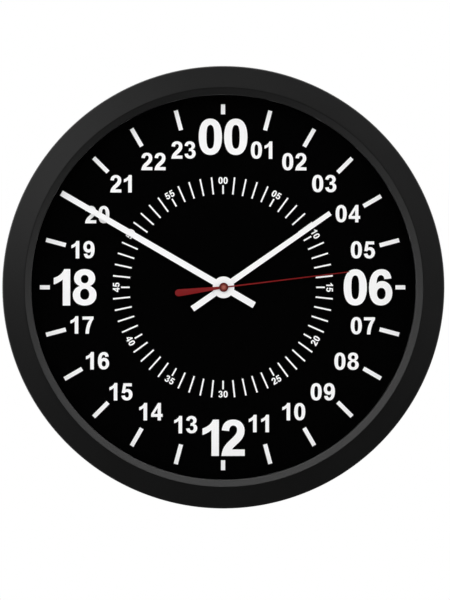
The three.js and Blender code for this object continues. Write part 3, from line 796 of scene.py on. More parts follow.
def cross_outline(width: float, arm: float) -> Outline:
    """Gives an upright cross.

    Args:
        width: The width of its arms.
        arm: How far each arm reaches.

    Returns:
        The points, anticlockwise.
    """
    half = width / 2
    return [(-half, -arm), (half, -arm), (half, -half), (arm, -half), (arm, half), (half, half),
            (half, arm), (-half, arm), (-half, half), (-arm, half), (-arm, -half), (-half, -half)]


def outline_of(reach: Span, corner: float) -> Outline:
    """Gives a box's outline from the front, with round corners."""
    return rounded_rect(reach.left, reach.right, reach.bottom, reach.top, corner, 10)


class Form:
    """A mesh being shaped, in millimetres in the drawing frame."""

    def __init__(self) -> None:
        """Starts with nothing."""
        self.mesh: BMesh = bmesh.new()

    @classmethod
    def turned(cls, section: Sequence[Corner], steps: int = ROUND_STEPS) -> "Form":
        """Turns a closed section about the hand axis.

        Args:
            section: The section's corners in order.
            steps: The number of steps in the turn.

        Returns:
            The closed form.
        """
        form = cls()
        mesh = form.mesh
        section = held(section)
        corners = [mesh.verts.new((corner.radius, 0.0, corner.place)) for corner in section]
        mesh.faces.new(corners)
        for vertex, corner in zip(corners, section):
            if corner.rounding > 0:
                bmesh.ops.bevel(mesh, geom=[vertex], offset=corner.rounding, offset_type="OFFSET",
                                segments=corner.steps, profile=ROUND_PROFILE, affect="VERTICES", material=-1)
        bmesh.ops.delete(mesh, geom=mesh.faces[:], context="FACES_ONLY")
        axis = [edge for edge in mesh.edges if all(abs(vertex.co.x) < NEAR for vertex in edge.verts)]
        bmesh.ops.delete(mesh, geom=axis, context="EDGES")
        bmesh.ops.spin(mesh, geom=mesh.verts[:] + mesh.edges[:], cent=(0, 0, 0), axis=(0, 0, 1),
                       angle=FULL_TURN, steps=steps, use_merge=True)
        return form.healed()

    @classmethod
    def plate(cls, outlines: Sequence[Outline], rear: float, front: float) -> "Form":
        """Raises flat outlines into plates, where an outline inside another is a hole.

        Args:
            outlines: The closed outlines.
            rear: The plate's rear face.
            front: The plate's front face.

        Returns:
            The closed form.
        """
        form = cls()
        mesh = form.mesh
        for outline in outlines:
            points = [mesh.verts.new((x, y, rear)) for x, y in outline]
            for start, end in zip(points, points[1:] + points[:1]):
                mesh.edges.new((start, end))
        if len(outlines) == 1:
            bmesh.ops.contextual_create(mesh, geom=mesh.edges[:])
        else:
            bmesh.ops.triangle_fill(mesh, use_beauty=True, use_dissolve=False, edges=mesh.edges[:])
        raised = bmesh.ops.extrude_face_region(mesh, geom=mesh.faces[:])["geom"]
        lifted = [item for item in raised if isinstance(item, BMVert)]
        bmesh.ops.translate(mesh, verts=lifted, vec=(0, 0, front - rear))
        return form.healed()

    def healed(self) -> "Form":
        """Merges doubled points and turns every face outwards.

        Returns:
            This form.
        """
        bmesh.ops.remove_doubles(self.mesh, verts=self.mesh.verts[:], dist=NEAR)
        bmesh.ops.dissolve_degenerate(self.mesh, dist=NEAR, edges=self.mesh.edges[:])
        bmesh.ops.recalc_face_normals(self.mesh, faces=self.mesh.faces[:])
        return self

    def rounded(self, radius: float, where: Callable[[BMEdge], bool], segments: int = 2) -> "Form":
        """Rounds sharp edges.

        Args:
            radius: The size of the rounding.
            where: Which of the sharp edges to round.
            segments: The number of steps across the rounding.

        Returns:
            This form.
        """
        edges = [edge for edge in self.mesh.edges
                 if len(edge.link_faces) == 2 and edge.calc_face_angle(0.0) > SHARP_ANGLE and where(edge)]
        bmesh.ops.bevel(self.mesh, geom=edges, offset=radius, offset_type="OFFSET", segments=segments,
                        profile=ROUND_PROFILE, affect="EDGES", clamp_overlap=True, material=-1)
        return self

    def rounded_at(self, radius: float, place: float, segments: int = 2) -> "Form":
        """Rounds the sharp edges that lie flat at a place along the axis.

        Args:
            radius: The size of the rounding.
            place: The place along the axis.
            segments: The number of steps across the rounding.

        Returns:
            This form.
        """
        def at_place(edge: BMEdge) -> bool:
            """Tells whether both ends lie there."""
            return all(abs(vertex.co.z - place) < NEAR for vertex in edge.verts)
        return self.rounded(radius, at_place, segments)

    def moved(self, x: float, y: float, z: float = 0.0) -> "Form":
        """Shifts the form."""
        bmesh.ops.translate(self.mesh, verts=self.mesh.verts[:], vec=(x, y, z))
        return self

    def swung(self, turn: float) -> "Form":
        """Turns the form clockwise about the hand axis, in degrees."""
        return self.rotated(-turn, (0, 0, 1))

    def rotated(self, turn: float, axis: Sequence[float]) -> "Form":
        """Turns the form about an axis through the origin.

        Args:
            turn: The turn in degrees.
            axis: The axis.

        Returns:
            This form.
        """
        matrix = Matrix.Rotation(math.radians(turn), 3, Vector(axis))
        bmesh.ops.rotate(self.mesh, verts=self.mesh.verts[:], cent=(0, 0, 0), matrix=matrix)
        return self

    def with_forms(self, others: Iterable["Form"]) -> "Form":
        """Takes other forms into the same mesh and frees them.

        Args:
            others: The forms to take in.

        Returns:
            This form.
        """
        for other in others:
            carrier = bpy.data.meshes.new("carrier")
            other.mesh.to_mesh(carrier)
            other.mesh.free()
            self.mesh.from_mesh(carrier)
            bpy.data.meshes.remove(carrier)
        return self

    def cut(self, how: Cut, *tools: "Form") -> "Form":
        """Carves, joins or keeps by other forms, which are used up.

        Args:
            how: What the other forms do.
            tools: The other forms.

        Returns:
            This form.
        """
        worked = self.as_object("worked")
        helpers = [tool.as_object("tool") for tool in tools]
        for helper in helpers:
            step = worked.modifiers.new("step", "BOOLEAN")
            step.object = helper
            step.operation = how.value
            step.solver = "EXACT"
        graph = bpy.context.evaluated_depsgraph_get()
        result = bpy.data.meshes.new_from_object(worked.evaluated_get(graph))
        self.mesh = bmesh.new()
        self.mesh.from_mesh(result)
        bpy.data.meshes.remove(result)
        for spent in (worked, *helpers):
            data = spent.data
            bpy.data.objects.remove(spent)
            bpy.data.meshes.remove(data)
        return self

    def as_object(self, name: str) -> bpy.types.Object:
        """Ends the shaping and gives the mesh as an object.

        Args:
            name: The object's name.

        Returns:
            The object, in the scene.
        """
        data = bpy.data.meshes.new(name)
        self.mesh.to_mesh(data)
        self.mesh.free()
        made = bpy.data.objects.new(name, data)
        bpy.context.scene.collection.objects.link(made)
        return made

    def piece(self, name: str, finish: Finish, body: Body, *nodes: str) -> bpy.types.Object:
        """Sets the form in the frame as a finished piece.

        Args:
            name: The piece's name.
            finish: Its finish.
            body: The body that it rides on.
            nodes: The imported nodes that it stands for.

        Returns:
            The piece.
        """
        bmesh.ops.transform(self.mesh, matrix=TO_WORLD, verts=self.mesh.verts[:])
        for face in self.mesh.faces:
            face.smooth = True
        for edge in self.mesh.edges:
            edge.smooth = len(edge.link_faces) == 2 and edge.calc_face_angle(0.0) < SHARP_ANGLE
        made = self.as_object(name)
        made.data.materials.append(finish.material())
        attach(made, body.value)
        if nodes:
            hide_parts(*nodes)
        LOG.info("%s: %d faces on %s", name, len(made.data.polygons), body.value)
        return made


@dataclass
class Case:
    """The moulded ring, its lens and the ring that keeps the lens off the dial."""

    draft: float = 2.0
    wall: float = 2.8
    bezel_width: float = 17.8
    front_slope: float = 0.36
    inner_band: float = 5.5
    band_rise: float = 4.2
    rear_round: float = 0.5
    side_round: float = 1.0
    crest_round: float = 0.3
    lip_round: float = 0.5
    lip_edge: float = 0.3
    inner_round: float = 1.0
    rim_round: float = 0.4
    skirt_wall: float = 2.4
    first_boss: float = 30.0
    boss_radius: float = 4.0
    boss_round: float = 0.3
    pilot_radius: float = 1.65
    pilot_round: float = 0.2
    pilot_depth: float = 9.0
    lens_edge: float = 0.25
    spacer_edge: float = 0.3

    def build(self) -> None:
        """Makes the three pieces."""
        ring = Span.of("case_ring")
        lens = Span.of("lens")
        self._ring(ring, lens, Span.of("dial_plate"))
        sheet = disc_section(lens, 0.0, self.lens_edge, 2)
        Form.turned(sheet, RIM_STEPS).piece("flat_lens", LENS_CLEAR, Body.CLOCK, "lens")
        inner = ring.radius - self.bezel_width - self.inner_band + SEAT_GAP / 2
        wall = disc_section(Span.of("lens_spacer_ring"), inner, self.spacer_edge, 2, self.spacer_edge)
        Form.turned(wall, RIM_STEPS).piece("dial_wall_ring", DIAL_BLACK, Body.CLOCK, "lens_spacer_ring")

    def _ring(self, ring: Span, lens: Span, dial: Span) -> None:
        """Turns the ring's section and adds the screw bosses behind its front.

        Args:
            ring: The ring's reach.
            lens: The lens's reach.
            dial: The dial's reach.
        """
        outer = ring.radius
        crest = ring.front
        crest_radius = outer - self.bezel_width
        lip_radius = crest_radius - self.inner_band
        lip_rear = lens.front + SEAT_GAP
        seat_radius = lens.radius + SEAT_GAP
        skirt_radius = seat_radius + self.skirt_wall
        skirt_rear = dial.front + SEAT_GAP
        inner_rear = outer - self.draft - self.wall

        def front_wall(radius: float) -> float:
            """Gives the place of the sloped front's inner face."""
            return crest - self.wall - (radius - crest_radius) * self.front_slope

        section = [
            Corner(outer - self.draft, ring.rear, self.rear_round, 3),
            Corner(outer, crest - self.bezel_width * self.front_slope, self.side_round, 8),
            Corner(crest_radius, crest, self.crest_round, 6),
            Corner(lip_radius, crest - self.band_rise, self.lip_round, 3),
            Corner(lip_radius, lip_rear, self.lip_edge, 2),
            Corner(seat_radius, lip_rear),
            Corner(seat_radius, skirt_rear),
            Corner(skirt_radius, skirt_rear),
            Corner(skirt_radius, front_wall(skirt_radius)),
            Corner(outer - self.wall, front_wall(outer - self.wall), self.inner_round, 3),
            Corner(inner_rear, ring.rear, self.rim_round, 2),
        ]
        boss_place = (skirt_radius + inner_rear) / 2
        boss_rear = dial.rear
        boss_front = front_wall(boss_place + self.boss_radius / 2) + self.wall / 2
        boss_section = [
            Corner(self.pilot_radius, boss_rear, self.pilot_round, 2),
            Corner(self.boss_radius, boss_rear, self.boss_round, 2),
            Corner(self.boss_radius, boss_front),
            Corner(0.0, boss_front),
            Corner(0.0, boss_rear + self.pilot_depth),
            Corner(self.pilot_radius, boss_rear + self.pilot_depth),
        ]
        turns = [self.first_boss + i * 360 / SCREW_COUNT for i in range(SCREW_COUNT)]
        bosses = [Form.turned(boss_section, 24).moved(0, boss_place).swung(turn) for turn in turns]
        whole = Form.turned(section, RIM_STEPS).with_forms(bosses)
        whole.piece("case_moulding", CASE_BLACK, Body.CLOCK, "case_ring")


class Digit(Enum):
    """Bold upright digits, drawn 1000 units tall; an outline inside another is a hole."""

    ZERO = ("M320 0 C105 0 0 190 0 500 C0 810 105 1000 320 1000 C535 1000 640 810 640 500 "
            "C640 190 535 0 320 0 Z M320 172 C235 172 212 280 212 500 C212 720 235 828 320 828 "
            "C405 828 428 720 428 500 C428 280 405 172 320 172 Z")
    ONE = ("M277 0 L482 0 L482 1000 L315 1000 C280 890 170 800 30 757 L30 578 C125 610 210 655 277 715 Z")
    TWO = ("M0 0 L640 0 L640 178 L290 178 C315 222 360 262 430 325 C560 440 635 545 635 700 "
           "C635 875 515 1000 325 1000 C140 1000 25 895 8 706 L210 686 C218 785 255 838 323 838 "
           "C388 838 430 797 430 718 C430 620 365 555 225 425 C85 295 18 190 0 0 Z")
    THREE = ("M0 272 L198 298 C208 215 250 165 318 165 C390 165 438 220 438 305 C438 388 392 440 325 440 "
             "C300 440 272 435 240 425 L262 590 C355 588 405 640 405 718 C405 790 362 838 300 838 "
             "C238 838 198 795 188 712 L0 745 C35 912 135 1000 305 1000 C480 1000 600 885 600 742 "
             "C600 652 552 575 460 528 C572 502 640 418 640 300 C640 128 500 0 318 0 C140 0 18 108 0 272 Z")
    FOUR = ("M372 0 L372 200 L0 200 L0 365 L400 1000 L560 1000 L560 368 L660 368 L660 200 L560 200 L560 0 Z "
            "M372 368 L372 700 L165 368 Z")
    FIVE = ("M0 268 L205 290 C213 215 258 165 320 165 C392 165 435 228 435 330 C435 430 390 488 318 488 "
            "C262 488 222 462 190 412 L25 437 L118 985 L595 985 L595 808 L258 808 L232 622 "
            "C272 643 315 653 358 653 C515 653 640 530 640 338 C640 150 500 0 315 0 C135 0 18 105 0 268 Z")
    SIX = ("M620 745 L425 725 C415 800 380 838 328 838 C258 838 218 772 208 600 C245 648 295 672 355 672 "
           "C520 672 645 540 645 345 C645 140 510 0 328 0 C130 0 0 155 0 485 C0 825 135 1000 350 1000 "
           "C500 1000 595 915 620 745 Z M340 485 C268 485 219 430 219 335 C219 235 270 170 342 170 "
           "C412 170 460 232 460 330 C460 428 412 485 340 485 Z")
    SEVEN = ("M8 985 L8 808 L430 808 C290 640 190 380 180 0 L378 0 C378 220 460 580 640 850 L640 985 Z")
    EIGHT = ("M190 538 C85 580 35 650 35 748 C35 895 150 1000 325 1000 C500 1000 615 895 615 748 "
             "C615 655 565 580 470 538 C590 490 650 405 650 290 C650 118 520 0 325 0 C135 0 0 115 0 285 "
             "C0 395 65 490 190 538 Z M325 840 C265 840 222 800 222 730 C222 655 265 612 325 612 "
             "C388 612 430 655 430 730 C430 798 388 840 325 840 Z M325 460 C245 460 200 395 200 305 "
             "C200 215 250 160 325 160 C402 160 452 215 452 305 C452 398 402 460 325 460 Z")

    def outlines(self, steps: int) -> list[Outline]:
        """Reads the drawing, where M starts an outline, L is a line, C is a curve and Z closes it.

        Args:
            steps: The number of chords in a curve.

        Returns:
            The digit's outlines, in its own units.
        """
        found: list[Outline] = []
        for kind, words in re.findall("([MLC])([^MLCZ]*)", self.value):
            numbers = [float(word) for word in words.split()]
            points = list(zip(numbers[0::2], numbers[1::2]))
            if kind == "M":
                found.append(points)
            elif kind == "L":
                found[-1] += points
            else:
                knots = [Vector((x, y, 0)) for x, y in (found[-1][-1], *points)]
                found[-1] += [(point.x, point.y) for point in interpolate_bezier(*knots, steps + 1)[1:]]
        return [outline[:-1] if math.dist(outline[0], outline[-1]) < 1 else outline for outline in found]


@dataclass(frozen=True)
class Lettering:
    """Sets two-figure numbers from the digits.

    The height is in millimetres. A pitch, from one digit to the next, is in the digits' own units.
    """

    TALL: ClassVar[float] = 1000.0
    WIDE: ClassVar[float] = 640.0
    ONE_WIDE: ClassVar[float] = 482.0
    NINE_WIDE: ClassVar[float] = 645.0

    height: float
    pitch: float
    pitch_after_one: float
    steps: int

    def _digit(self, figure: int) -> list[Outline]:
        """Gives the outlines of a digit, where a nine is a six turned half round.

        Args:
            figure: 0 to 9.

        Returns:
            The outlines, in the digit's own units.
        """
        if figure < len(Digit):
            return tuple(Digit)[figure].outlines(self.steps)
        six = Digit.SIX.outlines(self.steps)
        return [[(self.NINE_WIDE - x, self.TALL - y) for x, y in outline] for outline in six]

    def number(self, value: int, centre: Point, turn: float = 0.0) -> list[list[Outline]]:
        """Sets a number of two figures.

        Args:
            value: The number.
            centre: Where its middle goes.
            turn: Its turn clockwise, in degrees.

        Returns:
            The outlines in place, digit by digit.
        """
        placed: list[list[Outline]] = []
        scale = self.height / self.TALL
        cosine = math.cos(math.radians(-turn))
        sine = math.sin(math.radians(-turn))
        pitch = self.pitch_after_one if value // 10 == 1 else self.pitch
        last = self.ONE_WIDE if value % 10 == 1 else self.WIDE
        start = -(pitch + last) / 2
        for i, figure in enumerate(divmod(value, 10)):
            placed.append([])
            for outline in self._digit(figure):
                points: Outline = []
                for x, y in outline:
                    across = (x + start + i * pitch) * scale
                    up = (y - self.TALL / 2) * scale
                    points.append((centre[0] + across * cosine - up * sine,
                                   centre[1] + across * sine + up * cosine))
                placed[-1].append(points)
        return placed


@dataclass
class Dial:
    """The black dial sheet and the white print on it.

    A tick is given by its inner and outer ends. The hour numbers that stand off their ring have their
    shifts to the right and up in off_ring.
    """

    edge: float = 0.15
    ink: float = 0.05
    sunk: float = 0.02
    hours: int = 24
    half_day: int = 12
    quarter: int = 6
    minutes: int = 60
    five: int = 5
    hour_tick: Point = (131.5, 147.9)
    quarter_tick: Point = (139.9, 147.9)
    hour_tick_width: float = 3.4
    hour_letters: Lettering = Lettering(height=14.1, pitch=754, pitch_after_one=712, steps=6)
    hour_radius: float = 117.4
    beside_tall_radius: float = 115.3
    beside_tall_turn: float = 0.7
    tall_letters: Lettering = Lettering(height=29.4, pitch=700, pitch_after_one=553, steps=9)
    tall_radius_upright: float = 121.7
    tall_radius_level: float = 118.5
    minute_tick: Point = (75.5, 89.4)
    five_tick: Point = (75.5, 82.5)
    minute_tick_width: float = 1.25
    minute_letters: Lettering = Lettering(height=5.5, pitch=740, pitch_after_one=700, steps=4)
    minute_radius: float = 86.4
    lower_numbers: tuple[int, ...] = (20, 25, 30, 35, 40)
    off_ring: tuple[tuple[int, float, float], ...] = (
        (2, -1.0, 0.0), (3, -1.0, 1.0), (4, -0.6, 1.0), (6, -1.0, 0.0), (7, 0.0, -0.7), (8, -1.6, -1.2),
        (9, -2.2, -1.6), (10, -1.6, 1.0), (11, -2.4, 0.8), (13, 0.8, 0.0), (14, 0.0, 1.2), (15, 0.3, -1.3),
        (16, 0.0, -0.6), (17, -0.8, 0.0), (18, -1.6, 0.0), (21, 0.5, 0.6), (22, 2.4, 0.0), (23, -0.8, 0.0),
    )

    def build(self) -> None:
        """Makes the sheet and its print."""
        sheet = Span.of("dial_plate")
        section = disc_section(sheet, BUSH_HOLE, self.edge, 2)
        Form.turned(section, RIM_STEPS).piece("dial_sheet", DIAL_BLACK, Body.CLOCK, "dial_plate")
        hours = self._ticks(self.hours, self.quarter, self.hour_tick, self.quarter_tick, self.hour_tick_width)
        minutes = self._ticks(self.minutes, self.five, self.minute_tick, self.five_tick,
                              self.minute_tick_width)
        self._print("hour_marks", hours, sheet.front)
        self._print("hour_numbers", self._hour_numbers(), sheet.front)
        self._print("minute_marks", minutes, sheet.front)
        self._print("minute_numbers", self._minute_numbers(), sheet.front)

    def _print(self, name: str, figures: list[list[Outline]], front: float) -> None:
        """Lays white ink on the sheet.

        Args:
            name: The piece's name.
            figures: The outlines of each tick or digit.
            front: The sheet's front face.
        """
        laid = [Form.plate(outlines, front - self.sunk, front + self.ink) for outlines in figures]
        Form().with_forms(laid).piece(name, DIAL_WHITE, Body.CLOCK)

    @staticmethod
    def _ticks(count: int, every: int, ends: Point, short: Point, width: float) -> list[list[Outline]]:
        """Gives a ring of ticks.

        Args:
            count: The number of ticks.
            every: Which ticks are short, counted from the top.
            ends: The ends of most ticks.
            short: The ends of the short ones.
            width: The width of each.

        Returns:
            The outline of each tick.
        """
        ticks: list[list[Outline]] = []
        for i in range(count):
            inner, outer = ends if i % every else short
            x, y = compass(1.0, i * 360 / count)
            corners = ((inner, -width / 2), (inner, width / 2), (outer, width / 2), (outer, -width / 2))
            ticks.append([[(x * r + y * s, y * r - x * s) for r, s in corners]])
        return ticks

    def _hour_numbers(self) -> list[list[Outline]]:
        """Gives the hour numbers, upright, with 00, 06, 12 and 18 tall.

        Returns:
            The outlines of each digit.
        """
        shifts = {hour: (x, y) for hour, x, y in self.off_ring}
        figures: list[list[Outline]] = []
        for hour in range(self.hours):
            letters = self.hour_letters if hour % self.quarter else self.tall_letters
            x, y = self._hour_place(hour)
            shift = shifts.get(hour, (0.0, 0.0))
            figures += letters.number(hour, (x + shift[0], y + shift[1]))
        return figures

    def _hour_place(self, hour: int) -> Point:
        """Gives the place of an hour number on its ring.

        Args:
            hour: The hour.

        Returns:
            The number's middle.
        """
        turn = hour * 360 / self.hours
        if hour % self.quarter == 0:
            return compass(self.tall_radius_level if hour % self.half_day else self.tall_radius_upright, turn)
        if hour % self.half_day == 1:
            return compass(self.beside_tall_radius, turn + self.beside_tall_turn)
        if hour % self.half_day == self.half_day - 1:
            return compass(self.beside_tall_radius, turn - self.beside_tall_turn)
        return compass(self.hour_radius, turn)

    def _minute_numbers(self) -> list[list[Outline]]:
        """Gives the minute numbers, set round the ring and readable from below.

        Returns:
            The outlines of each digit.
        """
        figures: list[list[Outline]] = []
        for minute in range(0, self.minutes, self.five):
            turn = minute * 360 / self.minutes
            facing = turn + 180 if minute in self.lower_numbers else turn
            figures += self.minute_letters.number(minute, compass(self.minute_radius, turn), facing)
        return figures


@dataclass(frozen=True)
class Baton:
    """A white hand: a tapered blade with a round hub, and a collet behind it.

    The turn is clockwise from the top, in degrees.
    """

    name: str
    node: str
    body: Body
    turn: float
    length: float
    tail: float
    tip_width: float
    tail_width: float
    hub: float
    bore: float
    collet_wall: float = 1.1
    collet_round: float = 0.15
    bore_round: float = 0.1

    def build(self) -> None:
        """Makes the hand."""
        reach = Span.of(self.node)
        rear = reach.front - HAND_SHEET
        blade = Form.plate([self._outline(), circle(self.bore, 32)], rear, reach.front)
        blade.rounded_at(HAND_EDGE, reach.front)
        outer = self.bore + self.collet_wall
        collet = [
            Corner(self.bore, reach.rear, self.bore_round, 2),
            Corner(outer, reach.rear, self.collet_round, 2),
            Corner(outer, rear + HAND_SHEET / 2),
            Corner(self.bore, rear + HAND_SHEET / 2),
        ]
        blade.with_forms([Form.turned(collet, 32)]).swung(self.turn)
        blade.piece(self.name, HAND_WHITE, self.body, self.node)

    def _outline(self) -> Outline:
        """Gives the blade and hub, pointing up.

        Returns:
            The outline, anticlockwise.
        """
        upper = math.degrees(math.asin(self._half_width(self.hub) / self.hub))
        lower = math.degrees(math.asin(self._half_width(-self.hub) / self.hub))
        outline = [(-self.tail_width / 2, -self.tail), (self.tail_width / 2, -self.tail)]
        outline += arc(self.hub, lower - 90, 90 - upper, 24)
        outline += [(self.tip_width / 2, self.length), (-self.tip_width / 2, self.length)]
        outline += arc(self.hub, 90 + upper, 270 - lower, 24)
        return outline

    def _half_width(self, y: float) -> float:
        """Gives half the blade's width at a height."""
        widening = self.tip_width - self.tail_width
        return (self.tail_width + widening * (y + self.tail) / (self.length + self.tail)) / 2


@dataclass
class Hands:
    """The two white batons, the red sweep hand and its boss."""

    hour: Baton = Baton("hour_baton", "hour_hand", Body.HOUR, turn=55.25, length=105.2, tail=30.5,
                        tip_width=4.0, tail_width=5.0, hub=6.5, bore=2.65)
    minute: Baton = Baton("minute_baton", "minute_hand", Body.MINUTE, turn=300.15, length=151.0, tail=28.7,
                          tip_width=4.6, tail_width=5.25, hub=8.75, bore=1.75)
    second_turn: float = 83.0
    second_length: float = 102.4
    second_tip_width: float = 0.7
    second_root_width: float = 1.1
    second_tail: float = 39.4
    tail_root_width: float = 2.0
    tail_end: float = 2.85
    boss_radius: float = 3.7
    boss_stem: float = 1.5
    boss_bore: float = 0.75
    boss_edge: float = 0.35
    stem_round: float = 0.1
    cap_round: float = 0.15
    dome_rounds: tuple[float, float] = (0.6, 0.8)

    def build(self) -> None:
        """Makes the four pieces."""
        self.hour.build()
        self.minute.build()
        self._sweep()
        self._boss()

    def _sweep(self) -> None:
        """Makes the sweep hand, with its widening tail."""
        reach = Span.of("second_hand")
        hub = self.boss_radius - SEAT_GAP
        tip = self.second_tip_width / 2
        outline: Outline = arc(self.tail_end, 180, 360, 20, (0.0, self.tail_end - self.second_tail))
        lower = math.degrees(math.asin(self.tail_root_width / 2 / hub))
        upper = math.degrees(math.asin(self.second_root_width / 2 / hub))
        outline += arc(hub, lower - 90, 90 - upper, 20)
        outline += [(tip, self.second_length), (-tip, self.second_length)]
        outline += arc(hub, 90 + upper, 270 - lower, 20)
        hole = circle(self.boss_stem + RUN_GAP, 32)
        blade = Form.plate([outline, hole], reach.front - HAND_SHEET, reach.front)
        blade.rounded_at(HAND_EDGE, reach.front).swung(self.second_turn)
        blade.piece("sweep_blade", HAND_RED, Body.SECOND, "second_hand")

    def _boss(self) -> None:
        """Turns the domed boss that holds the sweep hand."""
        reach = Span.of("second_hand_boss")
        cap_rear = Span.of("second_hand").front + SEAT_GAP
        bore_end = (cap_rear + reach.front) / 2
        edge_round, crown_round = self.dome_rounds
        section = [
            Corner(self.boss_bore, reach.rear),
            Corner(self.boss_stem, reach.rear, self.stem_round, 2),
            Corner(self.boss_stem, cap_rear),
            Corner(self.boss_radius, cap_rear, self.cap_round, 2),
            Corner(self.boss_radius, reach.front - self.boss_edge, edge_round, 5),
            Corner(self.boss_radius / 2, reach.front, crown_round, 5),
            Corner(0.0, reach.front),
            Corner(0.0, bore_end),
            Corner(self.boss_bore, bore_end),
        ]
        Form.turned(section, ROUND_STEPS).piece("sweep_boss", BOSS_RED, Body.SECOND, "second_hand_boss")


@dataclass
class RearCover:
    """The rear cover with ribs, rim and keyhole hanger, and its six screws."""

    thickness: float = 2.5
    rim_height: float = 4.0
    rim_wall: float = 1.7
    rim_foot_round: float = 0.8
    rim_round: float = 0.5
    front_round: float = 0.3
    rib_count: int = 12
    rib_height: float = 2.4
    rib_width: float = 1.8
    rib_start: float = 48.0
    rib_round: float = 0.5
    hanger_width: float = 46.0
    hanger_height: float = 40.0
    hanger_centre: float = 120.0
    hanger_wall: float = 2.2
    hanger_corner: float = 6.0
    hanger_round: float = 0.8
    mouth_radius: float = 5.5
    slot_radius: float = 2.7
    slot_length: float = 13.0
    screw_hole: float = 1.8
    first_cross: float = 15.0
    cross_step: float = 25.0
    head_radius: float = 3.2
    head_height: float = 1.9
    crown_share: float = 0.7
    crown_round: float = 0.6
    side_share: float = 0.45
    side_round: float = 0.7
    head_edge: float = 0.1
    thread_radius: float = 1.5
    thread_pitch: float = 0.8
    thread_depth: float = 0.22
    cross_width: float = 0.9
    cross_reach: float = 2.0
    cross_depth: float = 1.2

    def build(self) -> None:
        """Makes the cover and its screws."""
        cover = Span.of("rear_cover")
        self._cover(cover)
        for i in range(SCREW_COUNT):
            turn = self.first_cross + self.cross_step * i
            self._screw(f"cover_screw_{i + 1}", f"pan_screw_{i + 1}", turn)

    def _cover(self, cover: Span) -> None:
        """Shapes the cover.

        Args:
            cover: The cover's reach.
        """
        rear = cover.front - self.thickness
        rim_rear = rear - self.rim_height
        rim_inner = cover.radius - self.rim_wall
        section = [
            Corner(BUSH_HOLE, rear),
            Corner(rim_inner, rear, self.rim_foot_round, 4),
            Corner(rim_inner, rim_rear, self.rim_round, 3),
            Corner(cover.radius, rim_rear, self.rim_round, 3),
            Corner(cover.radius, cover.front, self.front_round, 2),
            Corner(BUSH_HOLE, cover.front),
        ]
        whole = Form.turned(section, RIM_STEPS)
        turret = Form.plate([self._hanger(0.0, 10)], cover.rear, cover.front - self.thickness / 2)
        turret.rounded_at(self.hanger_round, cover.rear, 3)
        whole.cut(Cut.JOIN, *self._ribs(rear, rim_inner), turret)
        whole.cut(Cut.CARVE, *self._hollows(cover, rear))
        whole.piece("cover_moulding", CASE_BLACK, Body.CLOCK, "rear_cover")

    def _ribs(self, rear: float, rim_inner: float) -> list[Form]:
        """Makes the radial ribs.

        Args:
            rear: The plate's rear face.
            rim_inner: The rim's inner radius.

        Returns:
            The ribs.
        """
        ribs: list[Form] = []
        half = self.rib_width / 2
        end = rim_inner + self.rim_wall / 2
        for i in range(self.rib_count):
            outline = [(-half, self.rib_start), (half, self.rib_start), (half, end), (-half, end)]
            rib = Form.plate([outline], rear - self.rib_height, rear + self.thickness / 2)
            rib.rounded_at(self.rib_round, rear - self.rib_height)
            ribs.append(rib.swung((i + 0.5) * 360 / self.rib_count))
        return ribs

    def _hanger(self, inset: float, steps: int) -> Outline:
        """Gives the hanger's outline.

        Args:
            inset: How far it is drawn in.
            steps: The number of chords in a corner.

        Returns:
            The outline.
        """
        half = self.hanger_width / 2 - inset
        reach = self.hanger_height / 2 - inset
        low, high = self.hanger_centre - reach, self.hanger_centre + reach
        return rounded_rect(-half, half, low, high, self.hanger_corner - inset, steps)

    def _hollows(self, cover: Span, rear: float) -> list[Form]:
        """Makes what is cut away: the hanger's pocket, the keyhole and the screw holes.

        Args:
            cover: The cover's reach.
            rear: The plate's rear face.

        Returns:
            The cutters.
        """
        floor = cover.rear + self.hanger_wall
        mouth_y = self.hanger_centre - self.slot_length / 2
        slot_y = mouth_y + self.slot_length
        neck = math.degrees(math.asin(self.slot_radius / self.mouth_radius))
        keyhole = arc(self.mouth_radius, 90 + neck, 450 - neck, 40, (0.0, mouth_y))
        keyhole += arc(self.slot_radius, 0, 180, 16, (0.0, slot_y))
        cutters = [
            Form.plate([self._hanger(self.hanger_wall, 8)], floor, cover.front + OVERCUT),
            Form.plate([keyhole], cover.rear - OVERCUT, floor + OVERCUT),
        ]
        for i in range(SCREW_COUNT):
            hole = circle(self.screw_hole, 24, Span.of(f"cover_screw_{i + 1}").middle)
            cutters.append(Form.plate([hole], rear - OVERCUT, cover.front + OVERCUT))
        return cutters

    def _screw(self, node: str, name: str, turn: float) -> None:
        """Makes a pan-head screw with a cross recess.

        Args:
            node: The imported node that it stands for.
            name: The piece's name.
            turn: How far the cross is turned, in degrees.
        """
        reach = Span.of(node)
        head_front = reach.rear + self.head_height
        taper = reach.front - self.thread_radius
        section = [
            Corner(0.0, reach.rear),
            Corner(self.head_radius * self.crown_share, reach.rear, self.crown_round, 3),
            Corner(self.head_radius, reach.rear + self.head_height * self.side_share, self.side_round, 4),
            Corner(self.head_radius, head_front, self.head_edge, 1),
            Corner(self.thread_radius, head_front),
            *thread_ridges(self.thread_radius, self.thread_depth, self.thread_pitch, head_front, taper),
            Corner(self.thread_radius - self.thread_depth, taper),
            Corner(0.0, reach.front),
        ]
        cross = cross_outline(self.cross_width, self.cross_reach)
        recess = Form.plate([cross], reach.rear - OVERCUT, reach.rear + self.cross_depth)
        screw = Form.turned(section, 32).cut(Cut.CARVE, recess)
        screw.swung(turn).moved(*reach.middle).piece(name, DARK_STEEL, Body.CLOCK, node)


